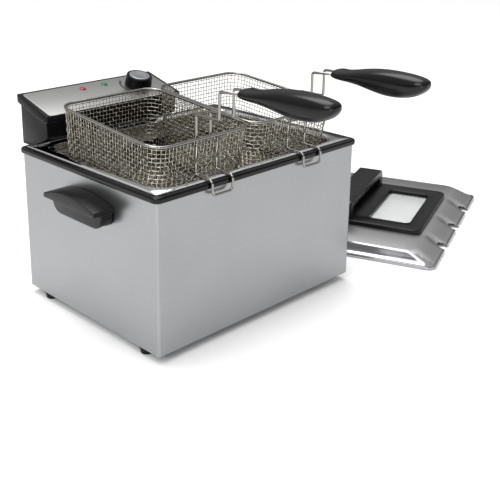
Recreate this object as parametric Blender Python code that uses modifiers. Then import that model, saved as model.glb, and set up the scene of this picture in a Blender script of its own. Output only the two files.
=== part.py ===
"""Twin-basket table deep fryer with its lid lying beside it. Metres, +Z up, front towards -Y.

Everything is laid out in the fryer's own frame (X = 0 and Y = 0 at the middle of the casing,
Z = 0 on the table). The last lines move the whole assembly so that the middle of its footprint
is the origin.
"""

import math

import bmesh
import bpy
from mathutils import Matrix, Vector

# ---- driving dimensions -------------------------------------------------------------------
CASING_WIDTH = 0.370
CASING_DEPTH = 0.290
FOOT_HEIGHT = 0.011
CASING_TOP = 0.2115
SHEET = 0.001
GAP = 0.0003

RIM_OVERHANG = 0.004
RIM_TOP = 0.220
TANK_LENGTH = 0.330
TANK_DEPTH = 0.256
TANK_BOTTOM = 0.045
TANK_FLANGE_TOP = RIM_TOP + GAP + SHEET

HEAD_LEFT = -0.183
HEAD_RIGHT = 0.052
HEAD_FRONT = 0.082
HEAD_REAR = 0.155
HEAD_WALL = 0.0025
HEAD_BASE = 0.2235
PANEL_FRONT_Z = 0.273
PANEL_REAR_Z = 0.293

BASKET_SPACING = 0.169
BASKET_WIDTH = 0.163
BASKET_LENGTH = 0.2015
BASKET_DROP = 0.107
BASKET_SKIN = 0.0012
BASKET_FRONT = Vector((0.0, -0.1225, 0.2687))
BASKET_TILT = math.radians(5.3)
RIM_WIRE = 0.002
HOOK_WIRE = 0.00175
HANDLE_HALF_SPREAD = 0.012
HANDLE_PIVOT = Vector((0.0, -0.1170, 0.2610))

LID_LENGTH = 0.380
LID_DEPTH = 0.272
LID_CENTRE = Vector((0.4303, -0.0277, 0.0))
LID_TURN = math.radians(21.1)
LID_SHEET = 0.0008

# ---- scene --------------------------------------------------------------------------------
for old in list(bpy.data.objects):
    bpy.data.objects.remove(old)

PARTS = bpy.data.collections.new("deep_fryer")
CUTTERS = bpy.data.collections.new("cutters")
bpy.context.scene.collection.children.link(PARTS)
bpy.context.scene.collection.children.link(CUTTERS)

ALONG_X = Matrix(((0, 0, 1, 0), (1, 0, 0, 0), (0, 1, 0, 0), (0, 0, 0, 1)))
ALONG_MINUS_Y = Matrix(((1, 0, 0, 0), (0, 0, -1, 0), (0, 1, 0, 0), (0, 0, 0, 1)))


def finish(name, colour, roughness, metallic=0.0):
    """A Principled material in the sub-part's own colour."""
    made = bpy.data.materials.new(name)
    made.use_nodes = True
    shader = made.node_tree.nodes["Principled BSDF"]
    shader.inputs["Base Color"].default_value = (*colour, 1.0)
    shader.inputs["Roughness"].default_value = roughness
    shader.inputs["Metallic"].default_value = metallic
    return made


BRUSHED = finish("brushed_stainless", (0.55, 0.55, 0.56), 0.35, 1.0)
POLISHED = finish("polished_stainless", (0.75, 0.75, 0.76), 0.08, 1.0)
GALVANISED = finish("galvanised_sheet", (0.45, 0.46, 0.47), 0.5, 1.0)
PLATED_WIRE = finish("plated_wire", (0.68, 0.67, 0.64), 0.18, 1.0)
BLACK = finish("black_plastic", (0.02, 0.02, 0.022), 0.35)
GLOSS = finish("gloss_black_plastic", (0.012, 0.012, 0.014), 0.12)
RUBBER = finish("black_rubber", (0.015, 0.015, 0.015), 0.8)
INCOLOY = finish("element_sheath", (0.12, 0.11, 0.10), 0.45, 0.8)
BRASS = finish("brass_stem", (0.6, 0.45, 0.2), 0.3, 1.0)
CERAMIC = finish("steatite", (0.75, 0.72, 0.66), 0.6)
RED = finish("red_lens", (0.55, 0.01, 0.01), 0.15)
GREEN = finish("green_lens", (0.01, 0.40, 0.04), 0.15)
GLASS = finish("window_glass", (0.85, 0.87, 0.88), 0.03)


def empty(name, location=(0, 0, 0), parent=None):
    made = bpy.data.objects.new(name, None)
    made.location = location
    PARTS.objects.link(made)
    bpy.context.view_layer.update()
    if parent:
        attach(made, parent)
    return made


def attach(child, parent):
    """Parents child without moving it."""
    child.parent = parent
    child.matrix_parent_inverse = parent.matrix_world.inverted()
    bpy.context.view_layer.update()


ROOT = empty("fryer")
TANK = empty("tank_lift", (0, 0, TANK_BOTTOM), ROOT)
HEAD = empty("head_lift", (HEAD_LEFT, HEAD_REAR, HEAD_BASE), TANK)
LID = empty("lid_lift", LID_CENTRE, ROOT)


def place(made, body, material=None):
    """Puts a new object in the parts collection under its body, or with the cutters if it has none."""
    (PARTS if body else CUTTERS).objects.link(made)
    bpy.context.view_layer.update()
    attach(made, body or ROOT)
    if body:
        made.data.materials.append(material)
    else:
        made.hide_render = True
        made.display_type = "WIRE"
    return made


def mesh_object(name, bm, matrix, body, material, smooth=True):
    data = bpy.data.meshes.new(name)
    bm.to_mesh(data)
    bm.free()
    if smooth:
        data.shade_smooth()
        data.set_sharp_from_angle(angle=math.radians(35))
    made = bpy.data.objects.new(name, data)
    made.matrix_world = matrix
    return place(made, body, material)


def bevelled(made, width, segments=2):
    edge = made.modifiers.new("rounding", "BEVEL")
    edge.width = width
    edge.segments = segments
    edge.limit_method = "ANGLE"
    edge.angle_limit = math.radians(40)
    return made


def boolean(made, other, operation="DIFFERENCE"):
    step = made.modifiers.new(operation.lower(), "BOOLEAN")
    step.operation = operation
    step.solver = "EXACT"
    step.object = other
    return made


def arc(centre, radius, start, end, steps):
    """Points of a circular arc in a plane, angles in degrees."""
    made = []
    for i in range(steps + 1):
        a = math.radians(start + (end - start) * i / steps)
        made.append((centre[0] + radius * math.cos(a), centre[1] + radius * math.sin(a)))
    return made


def rounded(x0, y0, x1, y1, radius, steps=4):
    """A rounded rectangle from its low and high corners, anticlockwise."""
    made = []
    corners = ((x1, y0, -90), (x1, y1, 0), (x0, y1, 90), (x0, y0, 180))
    for x, y, start in corners:
        cx = x - radius if x == x1 else x + radius
        cy = y - radius if y == y1 else y + radius
        made += arc((cx, cy), radius, start, start + 90, steps)
    return made


def centred(width, depth, radius, steps=4):
    return rounded(-width / 2, -depth / 2, width / 2, depth / 2, radius, steps)


def circle(x, y, radius, steps=16):
    return arc((x, y), radius, 0, 360 - 360 / steps, steps - 1)


def slab(name, outlines, low, high, body, material, frame=None, shift=None):
    """A flat outline with its holes, extruded from low to high along the frame's third axis."""
    curve = bpy.data.curves.new(name, "CURVE")
    curve.dimensions = "2D"
    curve.fill_mode = "BOTH"
    curve.extrude = (high - low) / 2
    for outline in outlines:
        spline = curve.splines.new("POLY")
        spline.points.add(len(outline) - 1)
        for point, (x, y) in zip(spline.points, outline):
            point.co = (x, y, 0, 1)
        spline.use_cyclic_u = True
    flat = bpy.data.objects.new(name, curve)
    matrix = (shift or Matrix()) @ (frame or Matrix()) @ Matrix.Translation((0, 0, (low + high) / 2))
    flat.matrix_world = matrix
    CUTTERS.objects.link(flat)
    return welded(flat, name, matrix, body, material)


def welded(flat, name, matrix, body, material):
    """Turns a curve object into a mesh object of one closed body."""
    bpy.context.view_layer.update()
    graph = bpy.context.evaluated_depsgraph_get()
    data = bpy.data.meshes.new_from_object(flat.evaluated_get(graph))
    bm = bmesh.new()
    bm.from_mesh(data)
    bmesh.ops.remove_doubles(bm, verts=bm.verts, dist=1e-6)
    bmesh.ops.recalc_face_normals(bm, faces=bm.faces)
    curve = flat.data
    bpy.data.objects.remove(flat)
    bpy.data.curves.remove(curve)
    bpy.data.meshes.remove(data)
    return mesh_object(name, bm, matrix, body, material)


def box(name, low, high, body, material, matrix=None):
    bm = bmesh.new()
    bmesh.ops.create_cube(bm, size=1.0)
    low, high = Vector(low), Vector(high)
    bmesh.ops.scale(bm, verts=bm.verts, vec=high - low)
    bmesh.ops.translate(bm, verts=bm.verts, vec=(low + high) / 2)
    return mesh_object(name, bm, matrix or Matrix(), body, material, smooth=False)


def rod(name, base, axis, radius, length, body=None, material=None, segments=16):
    """A plain cylinder from base along axis."""
    bm = bmesh.new()
    bmesh.ops.create_cone(
        bm, cap_ends=True, segments=segments, radius1=radius, radius2=radius, depth=length
    )
    bmesh.ops.translate(bm, verts=bm.verts, vec=(0, 0, length / 2))
    turn = Vector(axis).to_track_quat("Z", "Y").to_matrix().to_4x4()
    return mesh_object(name, bm, Matrix.Translation(base) @ turn, body, material)


def turned(name, profile, base, axis, body, material, segments=20, ring=False):
    """A turned piece: (radius, height) points run down its outer side; a ring's profile is closed."""
    data = bpy.data.meshes.new(name)
    bm = bmesh.new()
    points = [bm.verts.new((r, 0, h)) for r, h in profile]
    pairs = list(zip(points, points[1:]))
    if ring:
        pairs.append((points[-1], points[0]))
    for a, b in pairs:
        bm.edges.new((a, b))
    bm.to_mesh(data)
    bm.free()
    made = bpy.data.objects.new(name, data)
    turn = Vector(axis).to_track_quat("Z", "Y").to_matrix().to_4x4()
    made.matrix_world = Matrix.Translation(base) @ turn
    spin = made.modifiers.new("turned", "SCREW")
    spin.steps = spin.render_steps = segments
    spin.use_merge_vertices = True
    spin.merge_threshold = 1e-5
    spin.use_smooth_shade = True
    return place(made, body, material)


def lofted(name, rings, body, material, thickness=None, close=(False, True), matrix=None):
    """Joins rings of equally many points with walls; a thickness makes the skin a shell."""
    bm = bmesh.new()
    loops = [[bm.verts.new(point) for point in ring] for ring in rings]
    for lower, upper in zip(loops, loops[1:]):
        for i, corner in enumerate(lower):
            j = (i + 1) % len(lower)
            bm.faces.new((corner, lower[j], upper[j], upper[i]))
    for shut, loop in zip(close, (loops[0], loops[-1])):
        if shut:
            bm.faces.new(loop)
    bmesh.ops.recalc_face_normals(bm, faces=bm.faces)
    made = mesh_object(name, bm, matrix or Matrix(), body, material)
    if thickness:
        skin = made.modifiers.new("sheet", "SOLIDIFY")
        skin.thickness = thickness
        skin.offset = 0.0
        skin.use_even_offset = True
    return made


def level(outline, z):
    return [(x, y, z) for x, y in outline]


def bends(points, radius, steps=4):
    """A route with its inner corners rounded to the bend radius."""
    points = [Vector(p) for p in points]
    made = [points[0]]
    for before, corner, after in zip(points, points[1:], points[2:]):
        a = (before - corner).normalized()
        b = (after - corner).normalized()
        angle = a.angle(b)
        cut = radius / math.tan(angle / 2)
        centre = corner + (a + b).normalized() * (radius / math.sin(angle / 2))
        start, end = (corner + a * cut - centre).normalized(), (corner + b * cut - centre).normalized()
        for i in range(steps + 1):
            made.append(centre + start.slerp(end, i / steps) * radius)
    made.append(points[-1])
    return made


def wire(name, points, radius, body, material, cyclic=False):
    """A round wire along points, in the fryer's frame."""
    curve = bpy.data.curves.new(name, "CURVE")
    curve.dimensions = "3D"
    curve.bevel_depth = radius
    curve.bevel_resolution = 2
    curve.use_fill_caps = not cyclic
    spline = curve.splines.new("POLY")
    spline.points.add(len(points) - 1)
    for point, place_at in zip(spline.points, points):
        point.co = (*place_at, 1)
    spline.use_cyclic_u = cyclic
    return place(bpy.data.objects.new(name, curve), body, material)


# ---- casing, base plate, feet -------------------------------------------------------------
HALF_W = CASING_WIDTH / 2
HALF_D = CASING_DEPTH / 2
FOOT_X = 0.1735
FOOT_Y = 0.107
FOOT_BORE = 0.0025

wall_line = centred(CASING_WIDTH - SHEET, CASING_DEPTH - SHEET, 0.0035, 3)
casing = lofted(
    "outer_casing",
    [level(wall_line, FOOT_HEIGHT), level(wall_line, CASING_TOP)],
    ROOT, BRUSHED, SHEET, close=(False, False),
)

base_z = FOOT_HEIGHT + GAP + SHEET / 2
base_out = centred(CASING_WIDTH - 0.0042, CASING_DEPTH - 0.0042, 0.0025, 3)
base_in = centred(CASING_WIDTH - 0.0056, CASING_DEPTH - 0.0056, 0.0018, 3)
base_plate = lofted(
    "base_plate",
    [level(base_out, base_z + 0.016), level(base_out, base_z + 0.0008), level(base_in, base_z)],
    ROOT, GALVANISED, SHEET,
)

foot_profile = (
    (FOOT_BORE, FOOT_HEIGHT), (0.0108, FOOT_HEIGHT), (0.0108, 0.0085), (0.0088, 0.0077),
    (0.0080, 0.0006), (0.0074, 0.0), (0.0048, 0.0), (0.0048, 0.0045), (FOOT_BORE, 0.0045),
)
screw_profile = (
    (0.0, 0.0185), (0.0019, 0.0180), (0.0019, 0.0041), (0.0040, 0.0041), (0.0040, 0.0020),
    (0.0, 0.0014),
)
for y_side, y_name in ((-1, "front"), (1, "rear")):
    for x_side, x_name in ((-1, "left"), (1, "right")):
        spot = (x_side * FOOT_X, y_side * FOOT_Y, 0)
        label = f"{y_name}_{x_name}"
        turned(f"foot_{label}", foot_profile, spot, (0, 0, 1), ROOT, RUBBER, 18, ring=True)
        turned(f"foot_screw_{label}", screw_profile, spot, (0, 0, 1), ROOT, GALVANISED, 12)
        boolean(base_plate, rod(f"base_hole_{label}", (*spot[:2], 0.008), (0, 0, 1), 0.0024, 0.012))

# ---- rim trim and tank --------------------------------------------------------------------
rim_trim = slab(
    "rim_trim",
    [
        centred(CASING_WIDTH + 2 * RIM_OVERHANG, CASING_DEPTH + 2 * RIM_OVERHANG, 0.009),
        centred(TANK_LENGTH + 0.012, TANK_DEPTH + 0.010, 0.036),
    ],
    CASING_TOP + GAP, RIM_TOP, ROOT, BLACK,
)
bevelled(rim_trim, 0.003)

FLANGE_Z = TANK_FLANGE_TOP - SHEET / 2
tank_rings = (
    (CASING_WIDTH - 0.005, CASING_DEPTH - 0.005, 0.007, FLANGE_Z),
    (TANK_LENGTH + 0.004, TANK_DEPTH + 0.004, 0.032, FLANGE_Z),
    (TANK_LENGTH, TANK_DEPTH, 0.030, FLANGE_Z - 0.002),
    (TANK_LENGTH - 0.008, TANK_DEPTH - 0.008, 0.030, TANK_BOTTOM + 0.020),
    (TANK_LENGTH - 0.016, TANK_DEPTH - 0.016, 0.028, TANK_BOTTOM + 0.006),
    (TANK_LENGTH - 0.032, TANK_DEPTH - 0.032, 0.022, TANK_BOTTOM),
)
lofted(
    "oil_tank", [level(centred(w, d, r), z) for w, d, r, z in tank_rings], TANK, POLISHED, SHEET
)

# ---- carry handles ------------------------------------------------------------------------
GRAB_LENGTH = 0.111
GRAB_CENTRE = -0.0075
GRAB_REACH = 0.031
GRAB_LOW = 0.1570
GRAB_SHELF = 0.1785
GRAB_BODY_REACH = 0.019
GRAB_CROWN = 0.010
GRAB_SCREW_Y = 0.033


def carry_handle(side, label):
    """A black pull: an arched shelf over a hollow body that fingers enter from below."""
    face = side * (HALF_W + GAP)
    half = GRAB_LENGTH / 2
    shelf = [(GRAB_CENTRE - half, GRAB_SHELF), (GRAB_CENTRE + half, GRAB_SHELF)]
    for i in range(9):
        y = half * (1 - i / 4)
        shelf.append(
            (GRAB_CENTRE + y, GRAB_SHELF + 0.006 + GRAB_CROWN * (1 - (y / half) ** 2))
        )
    pod_rear, pod_front = GRAB_CENTRE + half - 0.002, GRAB_CENTRE - half + 0.002
    corner = 0.018
    pod = [(pod_rear, GRAB_SHELF + 0.004), (pod_front, GRAB_SHELF + 0.004)]
    pod += arc((pod_front + corner, GRAB_LOW + corner), corner, 180, 270, 4)
    pod += arc((pod_rear - corner, GRAB_LOW + corner), corner, 270, 360, 4)
    pocket = rounded(
        pod_front + 0.006, GRAB_LOW - 0.02, pod_rear - 0.006, GRAB_SHELF + 0.0015, 0.006, 2
    )
    low, high = sorted((face, face + side * GRAB_REACH))
    handle = slab(f"carry_handle_{label}", [shelf], low, high, ROOT, BLACK, ALONG_X)
    low, high = sorted((face + side * 0.0005, face + side * GRAB_BODY_REACH))
    boolean(handle, slab(f"pod_{label}", [pod], low, high, None, None, ALONG_X), "UNION")
    low, high = sorted((face + side * 0.0025, face + side * (GRAB_BODY_REACH - 0.0025)))
    boolean(handle, slab(f"pocket_{label}", [pocket], low, high, None, None, ALONG_X))
    for end, y in (("front", -GRAB_SCREW_Y), ("rear", GRAB_SCREW_Y)):
        base = (side * (HALF_W - 0.0055), GRAB_CENTRE + y, GRAB_SHELF + 0.004)
        turned(
            f"carry_screw_{label}_{end}",
            ((0.0, 0.014), (0.0018, 0.0135), (0.0018, 0.0042), (0.0035, 0.0042), (0.0035, 0.0018),
             (0.0, 0.0012)),
            base, (side, 0, 0), ROOT, GALVANISED, 12,
        )
        bore = rod(f"carry_bore_{label}_{end}", base, (side, 0, 0), 0.0021, 0.016)
        boolean(handle, bore)
        boolean(casing, bore)


carry_handle(-1, "left")
carry_handle(1, "right")

# ---- control head -------------------------------------------------------------------------
SLOPE = (PANEL_REAR_Z - PANEL_FRONT_Z) / (HEAD_REAR - HEAD_FRONT)
TILT = math.atan(SLOPE)
HEAD_FACE = HEAD_FRONT + 0.006
HEAD_BACK = HEAD_REAR - 0.004
HEAD_MID = (HEAD_LEFT + HEAD_RIGHT) / 2


def panel_z(y):
    return PANEL_FRONT_Z + (y - HEAD_FRONT) * SLOPE


# x along the head, y up the slope from its front edge, z square to the panel
PANEL_FRAME = Matrix.Translation((0, HEAD_FRONT, PANEL_FRONT_Z)) @ Matrix.Rotation(TILT, 4, "X")


def on_panel(x, y, height):
    """The point above the panel at plan position (x, y), height square to its surface."""
    return PANEL_FRAME @ Vector((x, (y - HEAD_FRONT) / math.cos(TILT), height))


side_profile = [
    (HEAD_BACK, HEAD_BASE), (HEAD_BACK, PANEL_REAR_Z - 0.014), (HEAD_REAR, PANEL_REAR_Z - 0.010),
    (HEAD_REAR, PANEL_REAR_Z), (HEAD_FRONT, PANEL_FRONT_Z), (HEAD_FRONT, PANEL_FRONT_Z - 0.010),
    (HEAD_FACE, PANEL_FRONT_Z - 0.012), (HEAD_FACE, 0.2410), (0.1280, HEAD_BASE),
]
housing = slab(
    "control_housing", [side_profile], HEAD_LEFT, HEAD_RIGHT, HEAD, BLACK, ALONG_X
)
bevelled(housing, 0.0015)
inner_profile = [
    (HEAD_FACE + HEAD_WALL, 0.200), (HEAD_BACK - HEAD_WALL, 0.200),
    (HEAD_BACK - HEAD_WALL, panel_z(HEAD_BACK - HEAD_WALL) - 0.0036),
    (HEAD_FACE + HEAD_WALL, panel_z(HEAD_FACE + HEAD_WALL) - 0.0036),
]
boolean(housing, slab(
    "housing_hollow", [inner_profile], HEAD_LEFT + HEAD_WALL, HEAD_RIGHT - HEAD_WALL,
    None, None, ALONG_X,
))
PANEL_DEEP = (HEAD_REAR - HEAD_FRONT) / math.cos(TILT)
PANEL_SHEET = 0.0008
panel_line = rounded(HEAD_LEFT + 0.006, 0.0015, HEAD_RIGHT - 0.005, PANEL_DEEP - 0.004, 0.005)
recess_line = rounded(HEAD_LEFT + 0.0055, 0.001, HEAD_RIGHT - 0.0045, PANEL_DEEP - 0.0035, 0.0055)
boolean(housing, slab(
    "panel_recess", [recess_line], -PANEL_SHEET - GAP, 0.004, None, None, shift=PANEL_FRAME
))

KNOB_SPOT = (0.002, 0.119)
LAMPS = (("red", (-0.085, 0.137), RED), ("green", (-0.045, 0.139), GREEN))
SHAFT_RADIUS = 0.003
LAMP_RADIUS = 0.0029


def in_panel(spot):
    return (spot[0], (spot[1] - HEAD_FRONT) / math.cos(TILT))


panel_holes = [circle(*in_panel(KNOB_SPOT), SHAFT_RADIUS + 0.0008, 12)]
panel_holes += [circle(*in_panel(spot), LAMP_RADIUS + 0.0003, 12) for _, spot, _ in LAMPS]
slab(
    "control_panel", [panel_line, *panel_holes], -PANEL_SHEET, 0.0, HEAD, BRUSHED,
    shift=PANEL_FRAME,
)
PANEL_OUT = PANEL_FRAME.to_3x3() @ Vector((0, 0, 1))
boolean(housing, rod(
    "shaft_hole", on_panel(*KNOB_SPOT, -0.010), PANEL_OUT, SHAFT_RADIUS + 0.0008, 0.012
))
for lamp, spot, lens in LAMPS:
    turned(
        f"indicator_{lamp}",
        ((0.0, 0.0016), (0.0025, 0.0012), (0.0038, 0.0004), (0.0038, 0.0002),
         (LAMP_RADIUS, 0.0002), (LAMP_RADIUS, -0.0100), (0.0, -0.0105)),
        on_panel(*spot, 0.0), PANEL_OUT, HEAD, lens, 16,
    )
    boolean(housing, rod(
        f"lamp_hole_{lamp}", on_panel(*spot, -0.012), PANEL_OUT, LAMP_RADIUS + 0.0003, 0.014
    ))

# base cover of the head, following the sloping underside
BASE_SHEET = 0.0022
base_front = HEAD_FACE + HEAD_WALL + GAP
base_rear = HEAD_BACK - HEAD_WALL - GAP
under_slope = (0.2410 - HEAD_BASE) / (0.1280 - HEAD_FACE)
base_front_z = 0.2410 - (base_front - HEAD_FACE) * under_slope
head_base = slab(
    "head_base_cover",
    [[
        (base_front, base_front_z), (0.1280, HEAD_BASE), (base_rear, HEAD_BASE),
        (base_rear, HEAD_BASE + BASE_SHEET), (0.1285, HEAD_BASE + BASE_SHEET),
        (base_front, base_front_z + BASE_SHEET),
    ]],
    HEAD_LEFT + HEAD_WALL + GAP, HEAD_RIGHT - HEAD_WALL - GAP, HEAD, BLACK, ALONG_X,
)
BOSS_Y = 0.1395
BOSS_LOW = HEAD_BASE + BASE_SHEET + GAP
for label, x in (("left", -0.166), ("right", 0.035)):
    spot = (x, BOSS_Y, HEAD_BASE)
    boolean(head_base, rod(f"head_screw_hole_{label}", (x, BOSS_Y, 0.21), (0, 0, 1), 0.0018, 0.03))
    boss = rod(
        f"boss_{label}", (x, BOSS_Y, BOSS_LOW), (0, 0, 1), 0.0045,
        panel_z(BOSS_Y - 0.0045) - 0.0025 - BOSS_LOW,
    )
    boolean(housing, boss, "UNION")
    boolean(housing, rod(f"pilot_{label}", (x, BOSS_Y, 0.2), (0, 0, 1), 0.0017, 0.045))
    turned(
        f"head_screw_{label}",
        ((0.0, 0.0150), (0.0014, 0.0145), (0.0014, -0.0003), (0.0030, -0.0003),
         (0.0030, -0.0013), (0.0, -0.0015)),
        spot, (0, 0, 1), HEAD, GALVANISED, 12,
    )

# ---- thermostat, knob ---------------------------------------------------------------------
STEM_TOP = 0.0105
box(
    "thermostat_body", (-0.016, -0.013, -0.022), (0.016, 0.013, -0.0045), HEAD, CERAMIC,
    Matrix.Translation(on_panel(*KNOB_SPOT, 0.0)) @ Matrix.Rotation(TILT, 4, "X"),
)
KNOB = empty("knob_axis", on_panel(*KNOB_SPOT, 0.0), HEAD)
turned(
    "thermostat_shaft",
    ((0.0, STEM_TOP), (SHAFT_RADIUS, STEM_TOP - 0.0003), (SHAFT_RADIUS, -0.0042), (0.0, -0.0042)),
    on_panel(*KNOB_SPOT, 0.0), PANEL_OUT, KNOB, BRASS, 16,
)
knob = turned(
    "thermostat_knob",
    ((0.0, 0.0160), (0.0160, 0.0160), (0.0160, 0.0172), (0.0184, 0.0168), (0.0194, 0.0155),
     (0.0200, 0.0020), (0.0196, 0.0008), (0.0042, 0.0008), (0.0042, 0.0110), (0.0, 0.0112)),
    on_panel(*KNOB_SPOT, 0.0), PANEL_OUT, KNOB, BLACK, 32,
)
turned(
    "knob_cap",
    ((0.0, 0.0176), (0.0148, 0.0175), (0.0155, 0.0170), (0.0155, 0.0163), (0.0, 0.0163)),
    on_panel(*KNOB_SPOT, 0.0), PANEL_OUT, KNOB, BRUSHED, 32,
)

# ---- heating element, its bracket, sensor -------------------------------------------------
ELEMENT_RADIUS = 0.0035
ELEMENT_Z = 0.062
RISER_Y = 0.1165
RISER_X = (-0.085, -0.045)
LOOP_REACH = 0.135
LOOP_PITCH = 0.054
LOOP_FRONT = -0.095
LOOP_REAR = 0.065
CROSS_Y = 0.095
ELEMENT_TOP = 0.238
BRACKET_Y = RISER_Y + ELEMENT_RADIUS + GAP + SHEET / 2

route = [(RISER_X[0], RISER_Y, ELEMENT_TOP), (RISER_X[0], RISER_Y, ELEMENT_Z),
         (RISER_X[0], CROSS_Y, ELEMENT_Z), (-LOOP_REACH, CROSS_Y, ELEMENT_Z)]
for i in range(6):
    x = -LOOP_REACH + i * LOOP_PITCH
    ends = [LOOP_REAR, LOOP_FRONT] if i % 2 == 0 else [LOOP_FRONT, LOOP_REAR]
    if i == 0:
        ends = ends[1:]
    if i == 5:
        ends = [LOOP_FRONT, CROSS_Y]
    route += [(x, y, ELEMENT_Z) for y in ends]
route += [(RISER_X[1], CROSS_Y, ELEMENT_Z), (RISER_X[1], RISER_Y, ELEMENT_Z),
          (RISER_X[1], RISER_Y, ELEMENT_TOP)]
wire("heating_element", bends(route, 0.010, 3), ELEMENT_RADIUS, HEAD, INCOLOY)
for x, label in zip(RISER_X, ("left", "right")):
    boolean(head_base, rod(f"riser_hole_{label}", (x, RISER_Y, 0.2), (0, 0, 1), 0.0040, 0.05))

BRACKET_HALF = 0.036
bracket_x = (HEAD_MID - BRACKET_HALF, HEAD_MID + BRACKET_HALF)
FLANGE_LOW = TANK_FLANGE_TOP + 0.0007
HOOK_LOW = 0.196
hook_y = HALF_D + RIM_OVERHANG + 0.0012
slab(
    "element_bracket",
    [[
        (BRACKET_Y - SHEET / 2, 0.120), (BRACKET_Y + SHEET / 2, 0.120),
        (BRACKET_Y + SHEET / 2, FLANGE_LOW), (hook_y - SHEET / 2, FLANGE_LOW),
        (hook_y - SHEET / 2, HOOK_LOW), (hook_y + SHEET / 2, HOOK_LOW),
        (hook_y + SHEET / 2, FLANGE_LOW + SHEET), (BRACKET_Y - SHEET / 2, FLANGE_LOW + SHEET),
    ]],
    *bracket_x, HEAD, BRUSHED, ALONG_X,
)
STRAP = 0.001
strap_front = RISER_Y - ELEMENT_RADIUS - GAP - STRAP
strap_rear = BRACKET_Y - SHEET / 2 - GAP
strap_x = (RISER_X[0] - 0.0075, RISER_X[1] + 0.0075)
for label, z in (("upper", 0.185), ("lower", 0.130)):
    slab(
        f"element_strap_{label}",
        [[
            (strap_x[0], strap_front), (strap_x[1], strap_front), (strap_x[1], strap_rear),
            (strap_x[1] - STRAP, strap_rear), (strap_x[1] - STRAP, strap_front + STRAP),
            (strap_x[0] + STRAP, strap_front + STRAP), (strap_x[0] + STRAP, strap_rear),
            (strap_x[0], strap_rear),
        ]],
        z, z + 0.010, HEAD, BRUSHED,
    )

BULB_Y = 0.100
BULB_RADIUS = 0.003
BULB_Z = ELEMENT_Z + ELEMENT_RADIUS + BULB_RADIUS + 0.001
bulb_x = (-0.062, 0.028)
rod(
    "sensor_bulb", (bulb_x[0], BULB_Y, BULB_Z), (1, 0, 0), BULB_RADIUS,
    bulb_x[1] - bulb_x[0], HEAD, POLISHED, 14,
)
capillary_x = bulb_x[0] - 0.003
wire(
    "capillary_tube",
    bends([
        (bulb_x[0] - GAP, BULB_Y, BULB_Z), (capillary_x, BULB_Y, BULB_Z),
        (capillary_x, RISER_Y, BULB_Z), (capillary_x, RISER_Y, ELEMENT_TOP - 0.002),
    ], 0.002, 3),
    0.0009, HEAD, POLISHED,
)
boolean(head_base, rod("capillary_hole", (capillary_x, RISER_Y, 0.2), (0, 0, 1), 0.0013, 0.05))
box(
    "terminal_block", (RISER_X[0] - 0.006, 0.108, ELEMENT_TOP + GAP),
    (RISER_X[1] + 0.006, 0.124, ELEMENT_TOP + 0.013), HEAD, CERAMIC,
)

# ---- safety switch, reset button, cord inlet ----------------------------------------------
SWITCH_SPOT = (-0.142, 0.137)
PLUNGER_RADIUS = 0.0015
PLUNGER_LOW = TANK_FLANGE_TOP + GAP
switch_low = HEAD_BASE + BASE_SHEET + GAP
switch = box(
    "safety_switch", (SWITCH_SPOT[0] - 0.010, SWITCH_SPOT[1] - 0.004, switch_low),
    (SWITCH_SPOT[0] + 0.010, SWITCH_SPOT[1] + 0.004, switch_low + 0.012), HEAD, BLACK,
)
plunger_hole = rod(
    "plunger_hole", (*SWITCH_SPOT, 0.2), (0, 0, 1), PLUNGER_RADIUS + 0.0003, 0.0345, segments=12
)
boolean(head_base, plunger_hole)
boolean(switch, plunger_hole)
PLUNGER = empty("plunger_axis", (*SWITCH_SPOT, PLUNGER_LOW), HEAD)
turned(
    "switch_plunger",
    ((0.0, 0.0095), (PLUNGER_RADIUS, 0.0092), (PLUNGER_RADIUS, 0.0006), (0.0, 0.0)),
    (*SWITCH_SPOT, PLUNGER_LOW), (0, 0, 1), PLUNGER, RED, 12,
)

BUTTON_SPOT = Vector((0.012, HEAD_BACK, 0.252))
BUTTON = empty("reset_axis", BUTTON_SPOT, HEAD)
turned(
    "reset_button",
    ((0.0, 0.0028), (0.0032, 0.0026), (0.0038, 0.0020), (0.0038, -0.0028), (0.0055, -0.0028),
     (0.0055, -0.0040), (0.0, -0.0040)),
    BUTTON_SPOT, (0, 1, 0), BUTTON, RED, 18,
)
boolean(housing, rod("button_hole", BUTTON_SPOT - Vector((0, 0.010, 0)), (0, 1, 0), 0.0041, 0.020))

INLET_SPOT = Vector((-0.150, HEAD_BACK, 0.246))
turned(
    "cord_inlet",
    ((0.0036, 0.0160), (0.0052, 0.0160), (0.0068, 0.0030), (0.0085, 0.0026), (0.0085, GAP),
     (0.0064, GAP), (0.0064, -0.0040), (0.0036, -0.0040)),
    INLET_SPOT, (0, 1, 0), HEAD, RUBBER, 20, ring=True,
)
boolean(housing, rod("inlet_hole", INLET_SPOT - Vector((0, 0.010, 0)), (0, 1, 0), 0.0067, 0.020))

# ---- baskets ------------------------------------------------------------------------------
HOOK_HALF = 0.0175
HOOK_OVER_Z = TANK_FLANGE_TOP + GAP + HOOK_WIRE
HOOK_FRONT_Y = -(HALF_D + RIM_OVERHANG + GAP + HOOK_WIRE + 0.0008)
HOOK_LOW_Z = 0.2035
CRANK_Z = 0.2990
CRANK_Y = -0.1575
GRIP_START = Vector((0.0, -0.1898, 0.3361))
GRIP_SLOPE = math.radians(4.5)
WIRE_IN_GRIP = 0.022
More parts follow.
